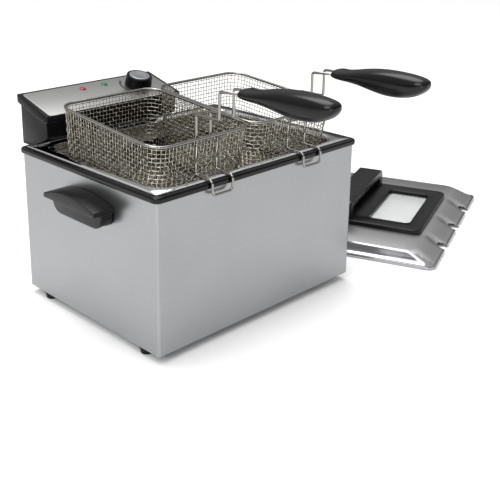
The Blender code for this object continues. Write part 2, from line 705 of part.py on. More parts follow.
# along the grip: distance, axis height, half height, half width
GRIP_STATIONS = (
    (0.0000, 0.0000, 0.0050, 0.0152), (0.0030, -0.0002, 0.0064, 0.0168),
    (0.0120, -0.0008, 0.0068, 0.0172), (0.0270, 0.0000, 0.0084, 0.0172),
    (0.0410, 0.0005, 0.0108, 0.0170), (0.0580, 0.0001, 0.0140, 0.0168),
    (0.0760, -0.0005, 0.0161, 0.0168), (0.0950, -0.0004, 0.0161, 0.0165),
    (0.1120, 0.0006, 0.0142, 0.0156), (0.1240, 0.0022, 0.0110, 0.0136),
    (0.1320, 0.0040, 0.0070, 0.0100), (0.1355, 0.0052, 0.0034, 0.0052),
)
SLEEVE_HALF = 0.009


def oval(half_width, half_height, steps=16):
    """A soft-cornered oval."""
    made = []
    for i in range(steps):
        a = 2 * math.pi * i / steps
        c, s = math.cos(a), math.sin(a)
        made.append((
            half_width * math.copysign(abs(c) ** 0.85, c), half_height * math.copysign(abs(s) ** 0.85, s)
        ))
    return made


def build_basket(number, x):
    front = BASKET_FRONT + Vector((x, 0, 0))
    frame = Matrix.Translation(front) @ Matrix.Rotation(BASKET_TILT, 4, "X")
    lift = empty(f"basket_{number}_lift", front, TANK)
    name = f"basket_{number}"
    half = BASKET_WIDTH / 2
    mouth = rounded(-half, 0.0, half, BASKET_LENGTH, 0.022, 6)
    foot = rounded(-half + 0.007, 0.007, half - 0.007, BASKET_LENGTH - 0.007, 0.019, 6)
    foot_low = rounded(-half + 0.010, 0.010, half - 0.010, BASKET_LENGTH - 0.010, 0.017, 6)
    floor = rounded(-half + 0.018, 0.018, half - 0.018, BASKET_LENGTH - 0.018, 0.014, 6)
    lofted(
        f"{name}_mesh",
        [level(mouth, -0.0030), level(foot, -BASKET_DROP + 0.010),
         level(foot_low, -BASKET_DROP + 0.003), level(floor, -BASKET_DROP)],
        lift, PLATED_WIRE, BASKET_SKIN, matrix=frame,
    )
    wire(f"{name}_rim", [frame @ Vector((px, py, 0)) for px, py in mouth], RIM_WIRE, lift,
         PLATED_WIRE, cyclic=True)

    rod_y = -(BASKET_SKIN / 2 + GAP + HOOK_WIRE)
    top = frame @ Vector((0, rod_y, -0.0050))
    down = frame.to_3x3() @ Vector((0, 0, -1))
    low = top + down * ((top.z - HOOK_OVER_Z) / -down.z)
    hook = []
    for side in (-1, 1):
        shift = Vector((side * HOOK_HALF, 0, 0))
        leg = [top + shift, low + shift, Vector((x, HOOK_FRONT_Y, HOOK_OVER_Z)) + shift,
               Vector((x, HOOK_FRONT_Y, HOOK_LOW_Z)) + shift]
        hook += leg if side < 0 else leg[::-1]
    wire(f"{name}_hook", bends(hook, 0.0060, 3), HOOK_WIRE, lift, PLATED_WIRE)

    pivot = HANDLE_PIVOT + Vector((x, 0, 0))
    hinge = empty(f"{name}_hinge", pivot, lift)
    turned(
        f"{name}_sleeve",
        ((0.00185, 2 * SLEEVE_HALF), (0.0027, 2 * SLEEVE_HALF), (0.0027, 0.0), (0.00185, 0.0)),
        pivot - Vector((SLEEVE_HALF, 0, 0)), (1, 0, 0), lift, PLATED_WIRE, 16, ring=True,
    )
    along = Vector((0, -math.cos(GRIP_SLOPE), math.sin(GRIP_SLOPE)))
    start = GRIP_START + Vector((x, 0, 0))
    for label, side in (("left", -1), ("right", 1)):
        shift = Vector((side * HANDLE_HALF_SPREAD, 0, 0))
        legs = [
            pivot + Vector((side * 0.0030, 0, 0)), pivot + shift,
            Vector((x, pivot.y, CRANK_Z)) + shift, Vector((x, CRANK_Y, CRANK_Z)) + shift,
            start + along * ((CRANK_Y - start.y) / along.y) + shift,
            start + along * WIRE_IN_GRIP + shift,
        ]
        wire(f"{name}_handle_wire_{label}", bends(legs, 0.0035, 3), HOOK_WIRE, hinge, PLATED_WIRE)
    rings = []
    for distance, rise, half_height, half_width in GRIP_STATIONS:
        centre = start + Vector((0, -distance, rise))
        rings.append([(centre.x + px, centre.y, centre.z + pz)
                      for px, pz in oval(half_width, half_height)])
    grip = lofted(f"{name}_grip", rings, hinge, GLOSS, close=(True, True))
    for label, side in (("left", -1), ("right", 1)):
        mouth_of_bore = start + Vector((side * HANDLE_HALF_SPREAD, 0, 0)) - along * 0.003
        boolean(grip, rod(
            f"{name}_bore_{label}", mouth_of_bore, along, HOOK_WIRE + GAP, WIRE_IN_GRIP + 0.004,
            segments=12,
        ))


for number, side in ((1, -1), (2, 1)):
    build_basket(number, side * BASKET_SPACING / 2)

# ---- lid ----------------------------------------------------------------------------------
LID_FRAME = Matrix.Translation(LID_CENTRE) @ Matrix.Rotation(LID_TURN, 4, "Z")
HALF_L = LID_LENGTH / 2
HALF_B = LID_DEPTH / 2
LID_PLATE_Z = 0.0225
FOLD_SIDE = 0.016
FOLD_FRONT = 0.034
WINDOW_HALF = 0.080
WINDOW_FRONT = -0.0700
WINDOW_REAR = 0.0030
FRAME_HALF = 0.108
FRAME_FRONT = -0.0935
FRAME_REAR = 0.0685
FRAME_LOW = LID_PLATE_Z + LID_SHEET / 2 + GAP
FRAME_THICK = 0.0065
BOW_FRONT = 0.0245
BOW_REAR = 0.0665
BOW_TOP = 0.060
BOW_WALL = 0.014
BOW_LEG = 0.020
SCREW_U = 0.096


def lid_line(side, front, rear, radius):
    return rounded(-HALF_L + side, -HALF_B + front, HALF_L - side, HALF_B - rear, radius, 4)


lid_shell = lofted(
    "lid_shell",
    [
        level(lid_line(0.0004, 0.0004, 0.0004, 0.016), 0.0),
        level(lid_line(0.0004, 0.0004, 0.0004, 0.016), 0.0050),
        level(lid_line(0.0050, 0.0040, 0.0050, 0.016), 0.0072),
        level(lid_line(0.0120, 0.0200, 0.0120, 0.020), 0.0150),
        level(lid_line(FOLD_SIDE, FOLD_FRONT, FOLD_SIDE, 0.022), 0.0205),
        level(lid_line(0.060, 0.048, 0.045, 0.020), LID_PLATE_Z),
    ],
    LID, POLISHED, LID_SHEET, matrix=LID_FRAME,
)
boolean(lid_shell, slab(
    "window_cut", [rounded(-WINDOW_HALF, WINDOW_FRONT, WINDOW_HALF, WINDOW_REAR, 0.010)],
    0.010, 0.040, None, None, shift=LID_FRAME,
))
NOTCH_HALF = 0.011
NOTCH_DEEP = 0.016
for i, share in enumerate((0.25, 0.50, 0.75)):
    u = -HALF_L + share * LID_LENGTH
    tongue = rounded(u - NOTCH_HALF, -HALF_B - 0.02, u + NOTCH_HALF, -HALF_B + NOTCH_DEEP, 0.007)
    boolean(lid_shell, slab(
        f"notch_{i}", [tongue], -0.002, 0.040, None, None, shift=LID_FRAME
    ))
slab(
    "lid_window",
    [rounded(-WINDOW_HALF - 0.005, WINDOW_FRONT - 0.005, WINDOW_HALF + 0.005, WINDOW_REAR + 0.005,
             0.012)],
    0.0185, LID_PLATE_Z - LID_SHEET / 2 - GAP, LID, GLASS, shift=LID_FRAME,
)
frame_line = rounded(-FRAME_HALF, FRAME_FRONT, FRAME_HALF, FRAME_REAR, 0.014)
sight_line = rounded(-WINDOW_HALF + 0.002, WINDOW_FRONT + 0.002, WINDOW_HALF - 0.002,
                     WINDOW_REAR - 0.002, 0.009)
lid_handle = slab(
    "lid_handle", [frame_line, sight_line], FRAME_LOW, FRAME_LOW + FRAME_THICK, LID, BLACK,
    shift=LID_FRAME,
)
bow_half = FRAME_HALF - 0.002
foot_z = FRAME_LOW + 0.001
bow = [(bow_half, foot_z), *arc((bow_half - 0.016, BOW_TOP - 0.016), 0.016, 0, 90, 4)]
bow += arc((-bow_half + 0.016, BOW_TOP - 0.016), 0.016, 90, 180, 4)
bow += [(-bow_half, foot_z), (-bow_half + BOW_LEG, foot_z)]
bow += arc((-bow_half + BOW_LEG + 0.010, BOW_TOP - BOW_WALL - 0.010), 0.010, 180, 90, 3)
bow += arc((bow_half - BOW_LEG - 0.010, BOW_TOP - BOW_WALL - 0.010), 0.010, 90, 0, 3)
bow.append((bow_half - BOW_LEG, foot_z))
bow_solid = slab(
    "lid_bow", [bow], -BOW_REAR, -BOW_FRONT, None, None, ALONG_MINUS_Y, LID_FRAME
)
boolean(lid_handle, bow_solid, "UNION")
for label, side in (("left", -1), ("right", 1)):
    base = LID_FRAME @ Vector((side * SCREW_U, (BOW_FRONT + BOW_REAR) / 2, LID_PLATE_Z))
    turned(
        f"lid_screw_{label}",
        ((0.0, 0.0150), (0.0017, 0.0145), (0.0017, -0.0008), (0.0038, -0.0008),
         (0.0038, -0.0024), (0.0, -0.0028)),
        base, (0, 0, 1), LID, GALVANISED, 12,
    )
    bore = rod(f"lid_bore_{label}", base - Vector((0, 0, 0.006)), (0, 0, 1), 0.0020, 0.022)
    boolean(lid_handle, bore)
    boolean(lid_shell, bore)

# ---- the middle of the footprint becomes the origin ---------------------------------------
bpy.context.view_layer.update()
graph = bpy.context.evaluated_depsgraph_get()
corners = []
for piece in PARTS.objects:
    if piece.type == "EMPTY":
        continue
    evaluated = piece.evaluated_get(graph)
    shape = evaluated.to_mesh()
    corners += [evaluated.matrix_world @ point.co for point in shape.vertices]
    evaluated.to_mesh_clear()
lows = [min(c[axis] for c in corners) for axis in range(3)]
highs = [max(c[axis] for c in corners) for axis in range(3)]
ROOT.location = [-(lows[0] + highs[0]) / 2, -(lows[1] + highs[1]) / 2, -lows[2]]
bpy.context.view_layer.update()
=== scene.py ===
import math

import bmesh
import bpy
from mathutils import Matrix, Vector


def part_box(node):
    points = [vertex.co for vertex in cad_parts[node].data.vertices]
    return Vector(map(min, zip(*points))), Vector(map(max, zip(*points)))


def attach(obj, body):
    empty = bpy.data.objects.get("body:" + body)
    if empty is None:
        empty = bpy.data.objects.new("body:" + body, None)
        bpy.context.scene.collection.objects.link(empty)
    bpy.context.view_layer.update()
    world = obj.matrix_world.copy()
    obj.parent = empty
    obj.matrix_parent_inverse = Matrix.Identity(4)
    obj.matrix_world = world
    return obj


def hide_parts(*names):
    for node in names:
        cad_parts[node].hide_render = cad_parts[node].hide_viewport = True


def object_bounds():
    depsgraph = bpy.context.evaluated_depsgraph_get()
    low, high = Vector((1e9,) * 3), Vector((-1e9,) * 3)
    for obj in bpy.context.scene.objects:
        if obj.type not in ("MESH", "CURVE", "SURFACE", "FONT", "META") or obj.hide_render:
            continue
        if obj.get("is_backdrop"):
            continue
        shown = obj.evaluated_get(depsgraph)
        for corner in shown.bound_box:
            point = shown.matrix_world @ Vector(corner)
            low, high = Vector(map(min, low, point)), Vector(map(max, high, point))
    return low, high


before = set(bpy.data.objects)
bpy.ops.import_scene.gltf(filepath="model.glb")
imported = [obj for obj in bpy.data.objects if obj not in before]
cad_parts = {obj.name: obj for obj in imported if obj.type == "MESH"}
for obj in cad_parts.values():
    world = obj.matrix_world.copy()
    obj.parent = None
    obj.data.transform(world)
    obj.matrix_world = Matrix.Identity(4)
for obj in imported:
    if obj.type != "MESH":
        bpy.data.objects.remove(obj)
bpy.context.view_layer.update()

# ---- Camera -------------------------------------------------------------------------------
# A long lens a little above the rim, on the fryer's left front corner, with the lid's side of
# the picture opened by a shift. HERE is the middle of the casing's footprint on the table.
casing_low, casing_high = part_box("outer_casing")
HERE = Vector(((casing_low.x + casing_high.x) / 2, (casing_low.y + casing_high.y) / 2, 0.0))
CAMERA_AZIMUTH = math.radians(-43.11)
CAMERA_ELEVATION = math.radians(16.54)
backward = Vector((
    math.sin(CAMERA_AZIMUTH) * math.cos(CAMERA_ELEVATION),
    -math.cos(CAMERA_AZIMUTH) * math.cos(CAMERA_ELEVATION),
    math.sin(CAMERA_ELEVATION),
))
lens = bpy.data.cameras.new("camera")
lens.lens = 62.33
lens.sensor_width = 36.0
lens.shift_x = 0.09
lens.shift_y = -0.20
lens.clip_end = 60.0
camera = bpy.data.objects.new("camera", lens)
camera.location = HERE + Vector((-0.7902, -0.8737, 0.5584))
camera.rotation_euler = backward.to_track_quat("Z", "Y").to_euler()
bpy.context.scene.collection.objects.link(camera)
bpy.context.scene.camera = camera

# ---- Studio -------------------------------------------------------------------------------
# A pale matt table that runs out of sight, a room that is bright above and on the left and
# greyer low down on the right, three softboxes, and a broad soft light from overhead.
bpy.context.scene.view_settings.view_transform = "Standard"


def srgb(code):
    """The linear colour of an sRGB hex code."""
    parts = [int(code[i:i + 2], 16) / 255 for i in (0, 2, 4)]
    return (*(c / 12.92 if c <= 0.04045 else ((c + 0.055) / 1.055) ** 2.4 for c in parts), 1.0)


def node(tree, kind, inputs=None, **settings):
    """Adds a node, sets it up, and fills its inputs with values or links."""
    made = tree.nodes.new(kind)
    for key, value in settings.items():
        setattr(made, key, value)
    for key, value in (inputs or {}).items():
        if isinstance(value, bpy.types.NodeSocket):
            tree.links.new(value, made.inputs[key])
        else:
            made.inputs[key].default_value = value
    return made


def finish(name, surface):
    """A material with one Principled shader whose sockets are set from surface."""
    made = bpy.data.materials.new(name)
    made.use_nodes = True
    shader = made.node_tree.nodes["Principled BSDF"]
    for key, value in surface.items():
        shader.inputs[key].default_value = value
    return made


table_top = finish("matt_white_table", {"Base Color": srgb("F8F8F8"), "Roughness": 0.6})
table = bmesh.new()
bmesh.ops.create_grid(table, x_segments=1, y_segments=1, size=25.0)
table_mesh = bpy.data.meshes.new("table")
table.to_mesh(table_mesh)
table.free()
table_mesh.materials.append(table_top)
table_object = bpy.data.objects.new("table", table_mesh)
table_object.location.z = -0.0002
bpy.context.scene.collection.objects.link(table_object)
table_object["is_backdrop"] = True

room = bpy.data.worlds.new("room")
room.use_nodes = True
bpy.context.scene.world = room
tree = room.node_tree
way = node(tree, "ShaderNodeTexCoord").outputs["Generated"]
split = node(tree, "ShaderNodeSeparateXYZ", {"Vector": way})
height = node(tree, "ShaderNodeMapRange", {
    "Value": split.outputs["Z"], "From Min": 0.1, "From Max": 0.8, "To Min": 0.0, "To Max": 1.0,
})
left = node(tree, "ShaderNodeMapRange", {
    "Value": split.outputs["X"], "From Min": 0.6, "From Max": -0.9, "To Min": 0.0, "To Max": 1.0,
})
low_wall = node(tree, "ShaderNodeMix", {"Factor": left.outputs["Result"]}, data_type="RGBA")
low_wall.inputs[6].default_value = srgb("4E4E50")
low_wall.inputs[7].default_value = srgb("C8C8C8")
sky = node(tree, "ShaderNodeMix", {"Factor": height.outputs["Result"]}, data_type="RGBA")
tree.links.new(low_wall.outputs[2], sky.inputs[6])
sky.inputs[7].default_value = srgb("FFFFFF")
background = tree.nodes["Background"]
tree.links.new(sky.outputs[2], background.inputs["Color"])
background.inputs["Strength"].default_value = 0.85


def softbox(name, spot, aim, size, power):
    light = bpy.data.lights.new(name, "AREA")
    light.shape = "RECTANGLE"
    light.size, light.size_y = size
    light.energy = power
    made = bpy.data.objects.new(name, light)
    made.location = spot
    made.rotation_euler = (Vector(spot) - Vector(aim)).to_track_quat("Z", "Y").to_euler()
    bpy.context.scene.collection.objects.link(made)


softbox("key_left", (-1.9, -0.6, 1.5), (0, 0, 0.1), (1.2, 1.2), 20)
softbox("top", (0.1, 0.5, 2.2), (0, 0, 0.1), (1.8, 1.2), 20)
softbox("front_strip", (-1.5, -1.65, 0.22), (-0.2, 0, 0.12), (0.25, 0.4), 4)
overhead = bpy.data.lights.new("overhead", "SUN")
overhead.energy = 1.25
overhead.angle = math.radians(50)
overhead_object = bpy.data.objects.new("overhead", overhead)
overhead_object.rotation_euler = Vector((-0.1, 0.2, 1.0)).to_track_quat("Z", "Y").to_euler()
bpy.context.scene.collection.objects.link(overhead_object)

# ---- Feet ---------------------------------------------------------------------------------
# Four moulded synthetic rubber feet, a flange and a short stud, each held by one zinc-plated
# screw from below. Matt black with a faint moulding grain.


def coordinates(tree, scale=(1, 1, 1), turn=0.0):
    """Object coordinates, turned about Z and then multiplied by scale."""
    place = node(tree, "ShaderNodeTexCoord").outputs["Object"]
    turned = node(tree, "ShaderNodeMapping", {"Vector": place, "Rotation": (0, 0, -turn)})
    sized = node(tree, "ShaderNodeMapping", {"Vector": turned.outputs["Vector"], "Scale": scale})
    return sized.outputs["Vector"]


def relief(made, height, strength, distance):
    """Bump on a material's surface, from a height socket."""
    tree = made.node_tree
    bump = node(tree, "ShaderNodeBump", {
        "Height": height, "Strength": strength, "Distance": distance,
    })
    tree.links.new(bump.outputs["Normal"], tree.nodes["Principled BSDF"].inputs["Normal"])


def grain(made, grains_per_mm, depth_mm, strength, spread=0.0):
    """A fine noise in the surface, as bump, and as a spread of the roughness."""
    tree = made.node_tree
    shader = tree.nodes["Principled BSDF"]
    noise = node(tree, "ShaderNodeTexNoise", {
        "Vector": coordinates(tree), "Scale": grains_per_mm * 1000, "Detail": 3.0,
    })
    relief(made, noise.outputs["Fac"], strength, depth_mm / 1000)
    if spread:
        base = shader.inputs["Roughness"].default_value
        wear = node(tree, "ShaderNodeTexNoise", {
            "Vector": coordinates(tree), "Scale": 60.0, "Detail": 4.0,
        })
        rough = node(tree, "ShaderNodeMapRange", {
            "Value": wear.outputs["Fac"], "From Min": 0.3, "From Max": 0.7,
            "To Min": base - spread, "To Max": base + spread,
        })
        tree.links.new(rough.outputs["Result"], shader.inputs["Roughness"])
    return made


def piece(name, bm, material, body, stands_for=(), place=None, smooth=40):
    """Turns a bmesh into a piece that rides on a body and stands for CAD nodes."""
    if place:
        bmesh.ops.transform(bm, matrix=place, verts=bm.verts)
    data = bpy.data.meshes.new(name)
    bm.to_mesh(data)
    bm.free()
    data.materials.append(material)
    if smooth:
        data.shade_smooth()
        data.set_sharp_from_angle(angle=math.radians(smooth))
    made = bpy.data.objects.new(name, data)
    bpy.context.scene.collection.objects.link(made)
    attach(made, body)
    if stands_for:
        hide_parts(*stands_for)
    return made


def spun(profile, steps=48, base=(0, 0, 0), axis=(0, 0, 1), ring=False):
    """A turned shape: the (radius, height) profile is spun once round, then stood on axis."""
    bm = bmesh.new()
    points = [bm.verts.new((r, 0, h)) for r, h in profile]
    pairs = list(zip(points, points[1:])) + ([(points[-1], points[0])] if ring else [])
    edges = [bm.edges.new(pair) for pair in pairs]
    bmesh.ops.spin(
        bm, geom=points + edges, cent=(0, 0, 0), axis=(0, 0, 1), angle=2 * math.pi,
        steps=steps, use_merge=True,
    )
    bmesh.ops.remove_doubles(bm, verts=bm.verts, dist=1e-6)
    bmesh.ops.dissolve_degenerate(bm, edges=bm.edges, dist=1e-7)
    bmesh.ops.recalc_face_normals(bm, faces=bm.faces)
    stand = Vector(axis).to_track_quat("Z", "Y").to_matrix().to_4x4()
    bmesh.ops.transform(bm, matrix=Matrix.Translation(base) @ stand, verts=bm.verts)
    return bm


def dress(material, *names):
    """Gives CAD nodes that keep their shape a finish."""
    for name in names:
        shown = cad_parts[name]
        shown.data.materials.clear()
        shown.data.materials.append(material)


rubber = grain(
    finish("moulded_rubber", {
        "Base Color": srgb("101010"), "Roughness": 0.78, "Specular IOR Level": 0.3,
    }), 3.0, 0.06, 0.4,
)
zinc = grain(
    finish("zinc_plate", {"Base Color": srgb("B9BCC0"), "Metallic": 1.0, "Roughness": 0.3}),
    2.0, 0.02, 0.3,
)
FOOT = (
    (0.0025, 0.0110), (0.0100, 0.0110), (0.0107, 0.0107), (0.0108, 0.0101), (0.0108, 0.0091),
    (0.0104, 0.0086), (0.0090, 0.0081), (0.0087, 0.0074), (0.0082, 0.0012), (0.0079, 0.0003),
    (0.0073, 0.0000), (0.0050, 0.0000), (0.0048, 0.0003), (0.0048, 0.0045), (0.0025, 0.0045),
)
for spot in ("front_left", "front_right", "rear_left", "rear_right"):
    low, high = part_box(f"foot_{spot}")
    centre = ((low.x + high.x) / 2, (low.y + high.y) / 2, 0)
    piece(f"moulded_foot_{spot}", spun(FOOT, 40, centre, ring=True), rubber, "casing",
          [f"foot_{spot}"])
    dress(zinc, f"foot_screw_{spot}")

# ---- Casing and base plate ----------------------------------------------------------------
# One band of 1 mm stainless sheet, folded round four tight corners and ground to a fine
# horizontal satin, closed from below by a galvanised pan.


def outline(bm, width, depth, radius, z, shift=0.0, segments=8):
    """A rounded rectangle of edges about (0, shift), and no face."""
    made = bmesh.ops.create_grid(bm, x_segments=1, y_segments=1, size=0.5)["verts"]
    bmesh.ops.scale(bm, verts=made, vec=(width, depth, 1))
    bmesh.ops.translate(bm, verts=made, vec=(0, shift, z))
    bent = bmesh.ops.bevel(
        bm, geom=made, offset=radius, affect="VERTICES", segments=segments, profile=0.5,
        material=-1,
    )
    corner = bent["verts"][0]
    face = corner.link_faces[0]
    edges = list(face.edges)
    bmesh.ops.delete(bm, geom=[face], context="FACES_ONLY")
    return edges


def corner_loop(width, depth, radius, z, shift, segments):
    """The points of a rounded rectangle, counted from its rear right corner."""
    points = []
    for corner, (side_x, side_y) in enumerate(((1, 1), (-1, 1), (-1, -1), (1, -1))):
        for i in range(segments + 1):
            a = math.radians(90 * corner + 90 * i / segments)
            points.append(Vector((
                side_x * (width / 2 - radius) + radius * math.cos(a),
                side_y * (depth / 2 - radius) + radius * math.sin(a) + shift, z,
            )))
    return points


def stacked(rings, ring=False, floor=False, segments=8):
    """Walls between rounded rectangles (width, depth, corner radius, height, shift in depth)."""
    rings = [(*each, 0.0)[:5] for each in rings]
    bm = bmesh.new()
    made = bmesh.ops.create_circle(bm, segments=4 * (segments + 1), radius=1.0)["verts"]
    made.sort(key=lambda v: math.atan2(v.co.y, v.co.x) % (2 * math.pi))
    for corner, spot in zip(made, corner_loop(*rings[0], segments)):
        corner.co = spot
    first = edges = list(bm.edges)
    for before, after in zip(rings, rings[1:]):
        old, new = corner_loop(*before, segments), corner_loop(*after, segments)
        grown = bmesh.ops.extrude_edge_only(bm, edges=edges)["geom"]
        edges = [part for part in grown if isinstance(part, bmesh.types.BMEdge)]
        for corner in [part for part in grown if isinstance(part, bmesh.types.BMVert)]:
            nearest = min(range(len(old)), key=lambda i: (old[i] - corner.co).length_squared)
            corner.co = new[nearest]
    if ring:
        bmesh.ops.bridge_loops(bm, edges=first + edges)
    if floor:
        bmesh.ops.holes_fill(bm, edges=edges, sides=0)
    bmesh.ops.recalc_face_normals(bm, faces=bm.faces)
    return bm


def brushed(name, tone, roughness, stretch, turn=0.0):
    """Ground stainless: long scratches across the fast axes of stretch, in lines per metre."""
    made = finish(name, {"Base Color": srgb(tone), "Metallic": 1.0, "Roughness": roughness})
    tree = made.node_tree
    shader = tree.nodes["Principled BSDF"]
    lines = node(tree, "ShaderNodeTexNoise", {
        "Vector": coordinates(tree, stretch, turn), "Scale": 1.0, "Detail": 4.0, "Roughness": 0.65,
    })
    rough = node(tree, "ShaderNodeMapRange", {
        "Value": lines.outputs["Fac"], "From Min": 0.3, "From Max": 0.7,
        "To Min": roughness - 0.03, "To Max": roughness + 0.03,
    })
    relief(made, lines.outputs["Fac"], 0.15, 0.00004)
    cloud = node(tree, "ShaderNodeTexNoise", {
        "Vector": coordinates(tree, (1, 1, 1), turn), "Scale": 9.0, "Detail": 2.0,
    })
    shade = node(tree, "ShaderNodeMapRange", {
        "Value": cloud.outputs["Fac"], "From Min": 0.3, "From Max": 0.7,
        "To Min": 0.97, "To Max": 1.03,
    })
    streak = node(tree, "ShaderNodeMapRange", {
        "Value": lines.outputs["Fac"], "From Min": 0.3, "From Max": 0.7,
        "To Min": 0.98, "To Max": 1.02,
    })
    level = node(tree, "ShaderNodeMath", {
        0: shade.outputs["Result"], 1: streak.outputs["Result"],
    }, operation="MULTIPLY")
    colour = node(tree, "ShaderNodeVectorMath", {
        0: srgb(tone)[:3], "Scale": level.outputs["Value"],
    }, operation="SCALE")
    tree.links.new(colour.outputs["Vector"], shader.inputs["Base Color"])
    tree.links.new(rough.outputs["Result"], shader.inputs["Roughness"])
    return made


casing_steel = brushed("ground_stainless", "999A9B", 0.31, (6, 6, 600))
width, depth = casing_high.x - casing_low.x, casing_high.y - casing_low.y
CORNER = 0.004
SHEET = 0.001
casing_rings = [
    (width - 2 * SHEET, depth - 2 * SHEET, CORNER - SHEET, casing_low.z + 0.0003),
    (width - SHEET, depth - SHEET, CORNER - SHEET / 2, casing_low.z),
    (width, depth, CORNER, casing_low.z + 0.0004),
    (width, depth, CORNER, casing_high.z),
    (width - 2 * SHEET, depth - 2 * SHEET, CORNER - SHEET, casing_high.z),
]
piece("folded_casing", stacked(casing_rings, ring=True, segments=10), casing_steel, "casing",
      ["outer_casing"], Matrix.Translation(HERE))

galvanised = finish("galvanised_sheet", {
    "Base Color": srgb("A9ADB0"), "Metallic": 1.0, "Roughness": 0.42,
})
tree = galvanised.node_tree
spangle = node(tree, "ShaderNodeTexVoronoi", {"Vector": coordinates(tree), "Scale": 130.0})
patch = node(tree, "ShaderNodeMapRange", {
    "Value": spangle.outputs["Color"], "To Min": 0.32, "To Max": 0.52,
})
tree.links.new(patch.outputs["Result"], tree.nodes["Principled BSDF"].inputs["Roughness"])
dress(galvanised, "base_plate")

# ---- Rim trim -----------------------------------------------------------------------------
# A glossy black phenolic moulding that caps the casing's raw edge and carries the tank.
phenolic = grain(
    finish("gloss_phenolic", {
        "Base Color": srgb("050506"), "Roughness": 0.12, "Specular IOR Level": 0.25,
    }),
    0.6, 0.02, 0.1, 0.04,
)
low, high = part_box("rim_trim")
width, depth = high.x - low.x, high.y - low.y
OPENING = (0.342, 0.266, 0.036)
rim_rings = [(*OPENING, low.z)]
ROUND = 0.0030
for i in range(5):
    a = math.radians(-90 + 90 * i / 4)
    inset = 2 * 0.0015 * (1 - math.cos(a))
    rim_rings.append((width - inset, depth - inset, 0.009, low.z + 0.0015 * (1 + math.sin(a))))
for i in range(7):
    a = math.radians(90 * i / 6)
    inset = 2 * ROUND * (1 - math.cos(a))
    rim_rings.append((width - inset, depth - inset, 0.009, high.z - ROUND * (1 - math.sin(a))))
rim_rings += [(OPENING[0] + 0.002, OPENING[1] + 0.002, OPENING[2], high.z),
              (*OPENING, high.z - 0.001)]
piece("moulded_rim", stacked(rim_rings, ring=True, segments=10), phenolic, "casing",
      ["rim_trim"], Matrix.Translation(HERE))

# ---- Oil tank -----------------------------------------------------------------------------
# A deep-drawn stainless pan, polished to a mirror, with a flange that rolls over into the
# well. The drawing leaves a very slight waviness in the wide flats.
mirror_steel = finish("mirror_stainless", {
    "Base Color": srgb("D2D2D3"), "Metallic": 1.0, "Roughness": 0.07,
})
tree = mirror_steel.node_tree
wave = node(tree, "ShaderNodeTexNoise", {"Vector": coordinates(tree), "Scale": 22.0, "Detail": 1.0})
relief(mirror_steel, wave.outputs["Fac"], 0.25, 0.0015)
low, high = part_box("oil_tank")
flange = high.z - SHEET / 2
bottom = low.z + SHEET / 2
WELL = (0.340, 0.266, 0.036)
FLOOR = (0.322, 0.248, 0.030)
tank_rings = [(high.x - low.x - 0.0002, high.y - low.y - 0.0002, 0.007, flange),
              (*WELL, flange)]
for i in range(1, 7):
    a = math.radians(90 * i / 6)
    inset = 2 * 0.005 * math.sin(a)
    tank_rings.append((
        WELL[0] - inset, WELL[1] - inset, WELL[2] - inset / 2, flange - 0.005 * (1 - math.cos(a)),
    ))
FILLET = 0.012
tank_rings.append((FLOOR[0] + 0.0005, FLOOR[1], FLOOR[2], bottom + FILLET + 0.004))
for i in range(7):
    a = math.radians(90 * i / 6)
    inset = 2 * FILLET * (1 - math.cos(a))
    tank_rings.append((FLOOR[0] - inset, FLOOR[1] - inset, FLOOR[2] - inset / 4,
                       bottom + FILLET * (1 - math.sin(a))))
tank = piece("drawn_tank", stacked(tank_rings, floor=True, segments=10), mirror_steel, "tank",
             ["oil_tank"], Matrix.Translation(HERE))
skin = tank.modifiers.new("sheet", "SOLIDIFY")
skin.thickness = SHEET * 0.9
skin.offset = 0.0

# ---- Carry handles ------------------------------------------------------------------------
# Black glass-filled nylon mouldings on both ends: an arched visor over a hollow pod that the
# fingers enter from below. Satin, with a fine spark-eroded grain.
nylon = grain(
    finish("satin_nylon", {
        "Base Color": srgb("0C0C0D"), "Roughness": 0.34, "Specular IOR Level": 0.26,
    }), 1.6, 0.03, 0.25, 0.05
)


def box_mesh(low, high):
    """A plain block between two corners."""
    bm = bmesh.new()
    made = bmesh.ops.create_cube(bm, size=1.0)["verts"]
    bmesh.ops.scale(bm, verts=made, vec=Vector(high) - Vector(low))
    bmesh.ops.translate(bm, verts=made, vec=(Vector(low) + Vector(high)) / 2)
    return bm


def soften(bm, width, segments=3, keep=lambda edge: True, angle=35):
    """Rounds every edge sharper than angle that keep accepts."""
    sharp = [
        edge for edge in bm.edges
        if len(edge.link_faces) == 2 and edge.calc_face_angle(0) > math.radians(angle) and keep(edge)
    ]
    bmesh.ops.bevel(
        bm, geom=sharp, offset=width, affect="EDGES", segments=segments, profile=0.5, material=-1
    )


def scratch(bm):
    """An object that only helps to shape a piece."""
    data = bpy.data.meshes.new("scratch")
    bm.to_mesh(data)
    bm.free()
    made = bpy.data.objects.new("scratch", data)
    bpy.context.scene.collection.objects.link(made)
    return made


def combined(bm, *steps):
    """Cuts (DIFFERENCE) or joins (UNION) the other bmeshes with bm, and gives the result."""
    shape = scratch(bm)
    for operation, other in steps:
        tool = scratch(other)
        modifier = shape.modifiers.new("step", "BOOLEAN")
        modifier.operation = operation
        modifier.solver = "EXACT"
        modifier.object = tool
    bpy.context.view_layer.update()
    data = bpy.data.meshes.new_from_object(
        shape.evaluated_get(bpy.context.evaluated_depsgraph_get())
    )
    made = bmesh.new()
    made.from_mesh(data)
    tools = [modifier.object for modifier in shape.modifiers]
    for old in [shape, *tools]:
        bpy.data.objects.remove(old)
    bpy.data.meshes.remove(data)
    bmesh.ops.remove_doubles(made, verts=made.verts, dist=2e-6)
    return made


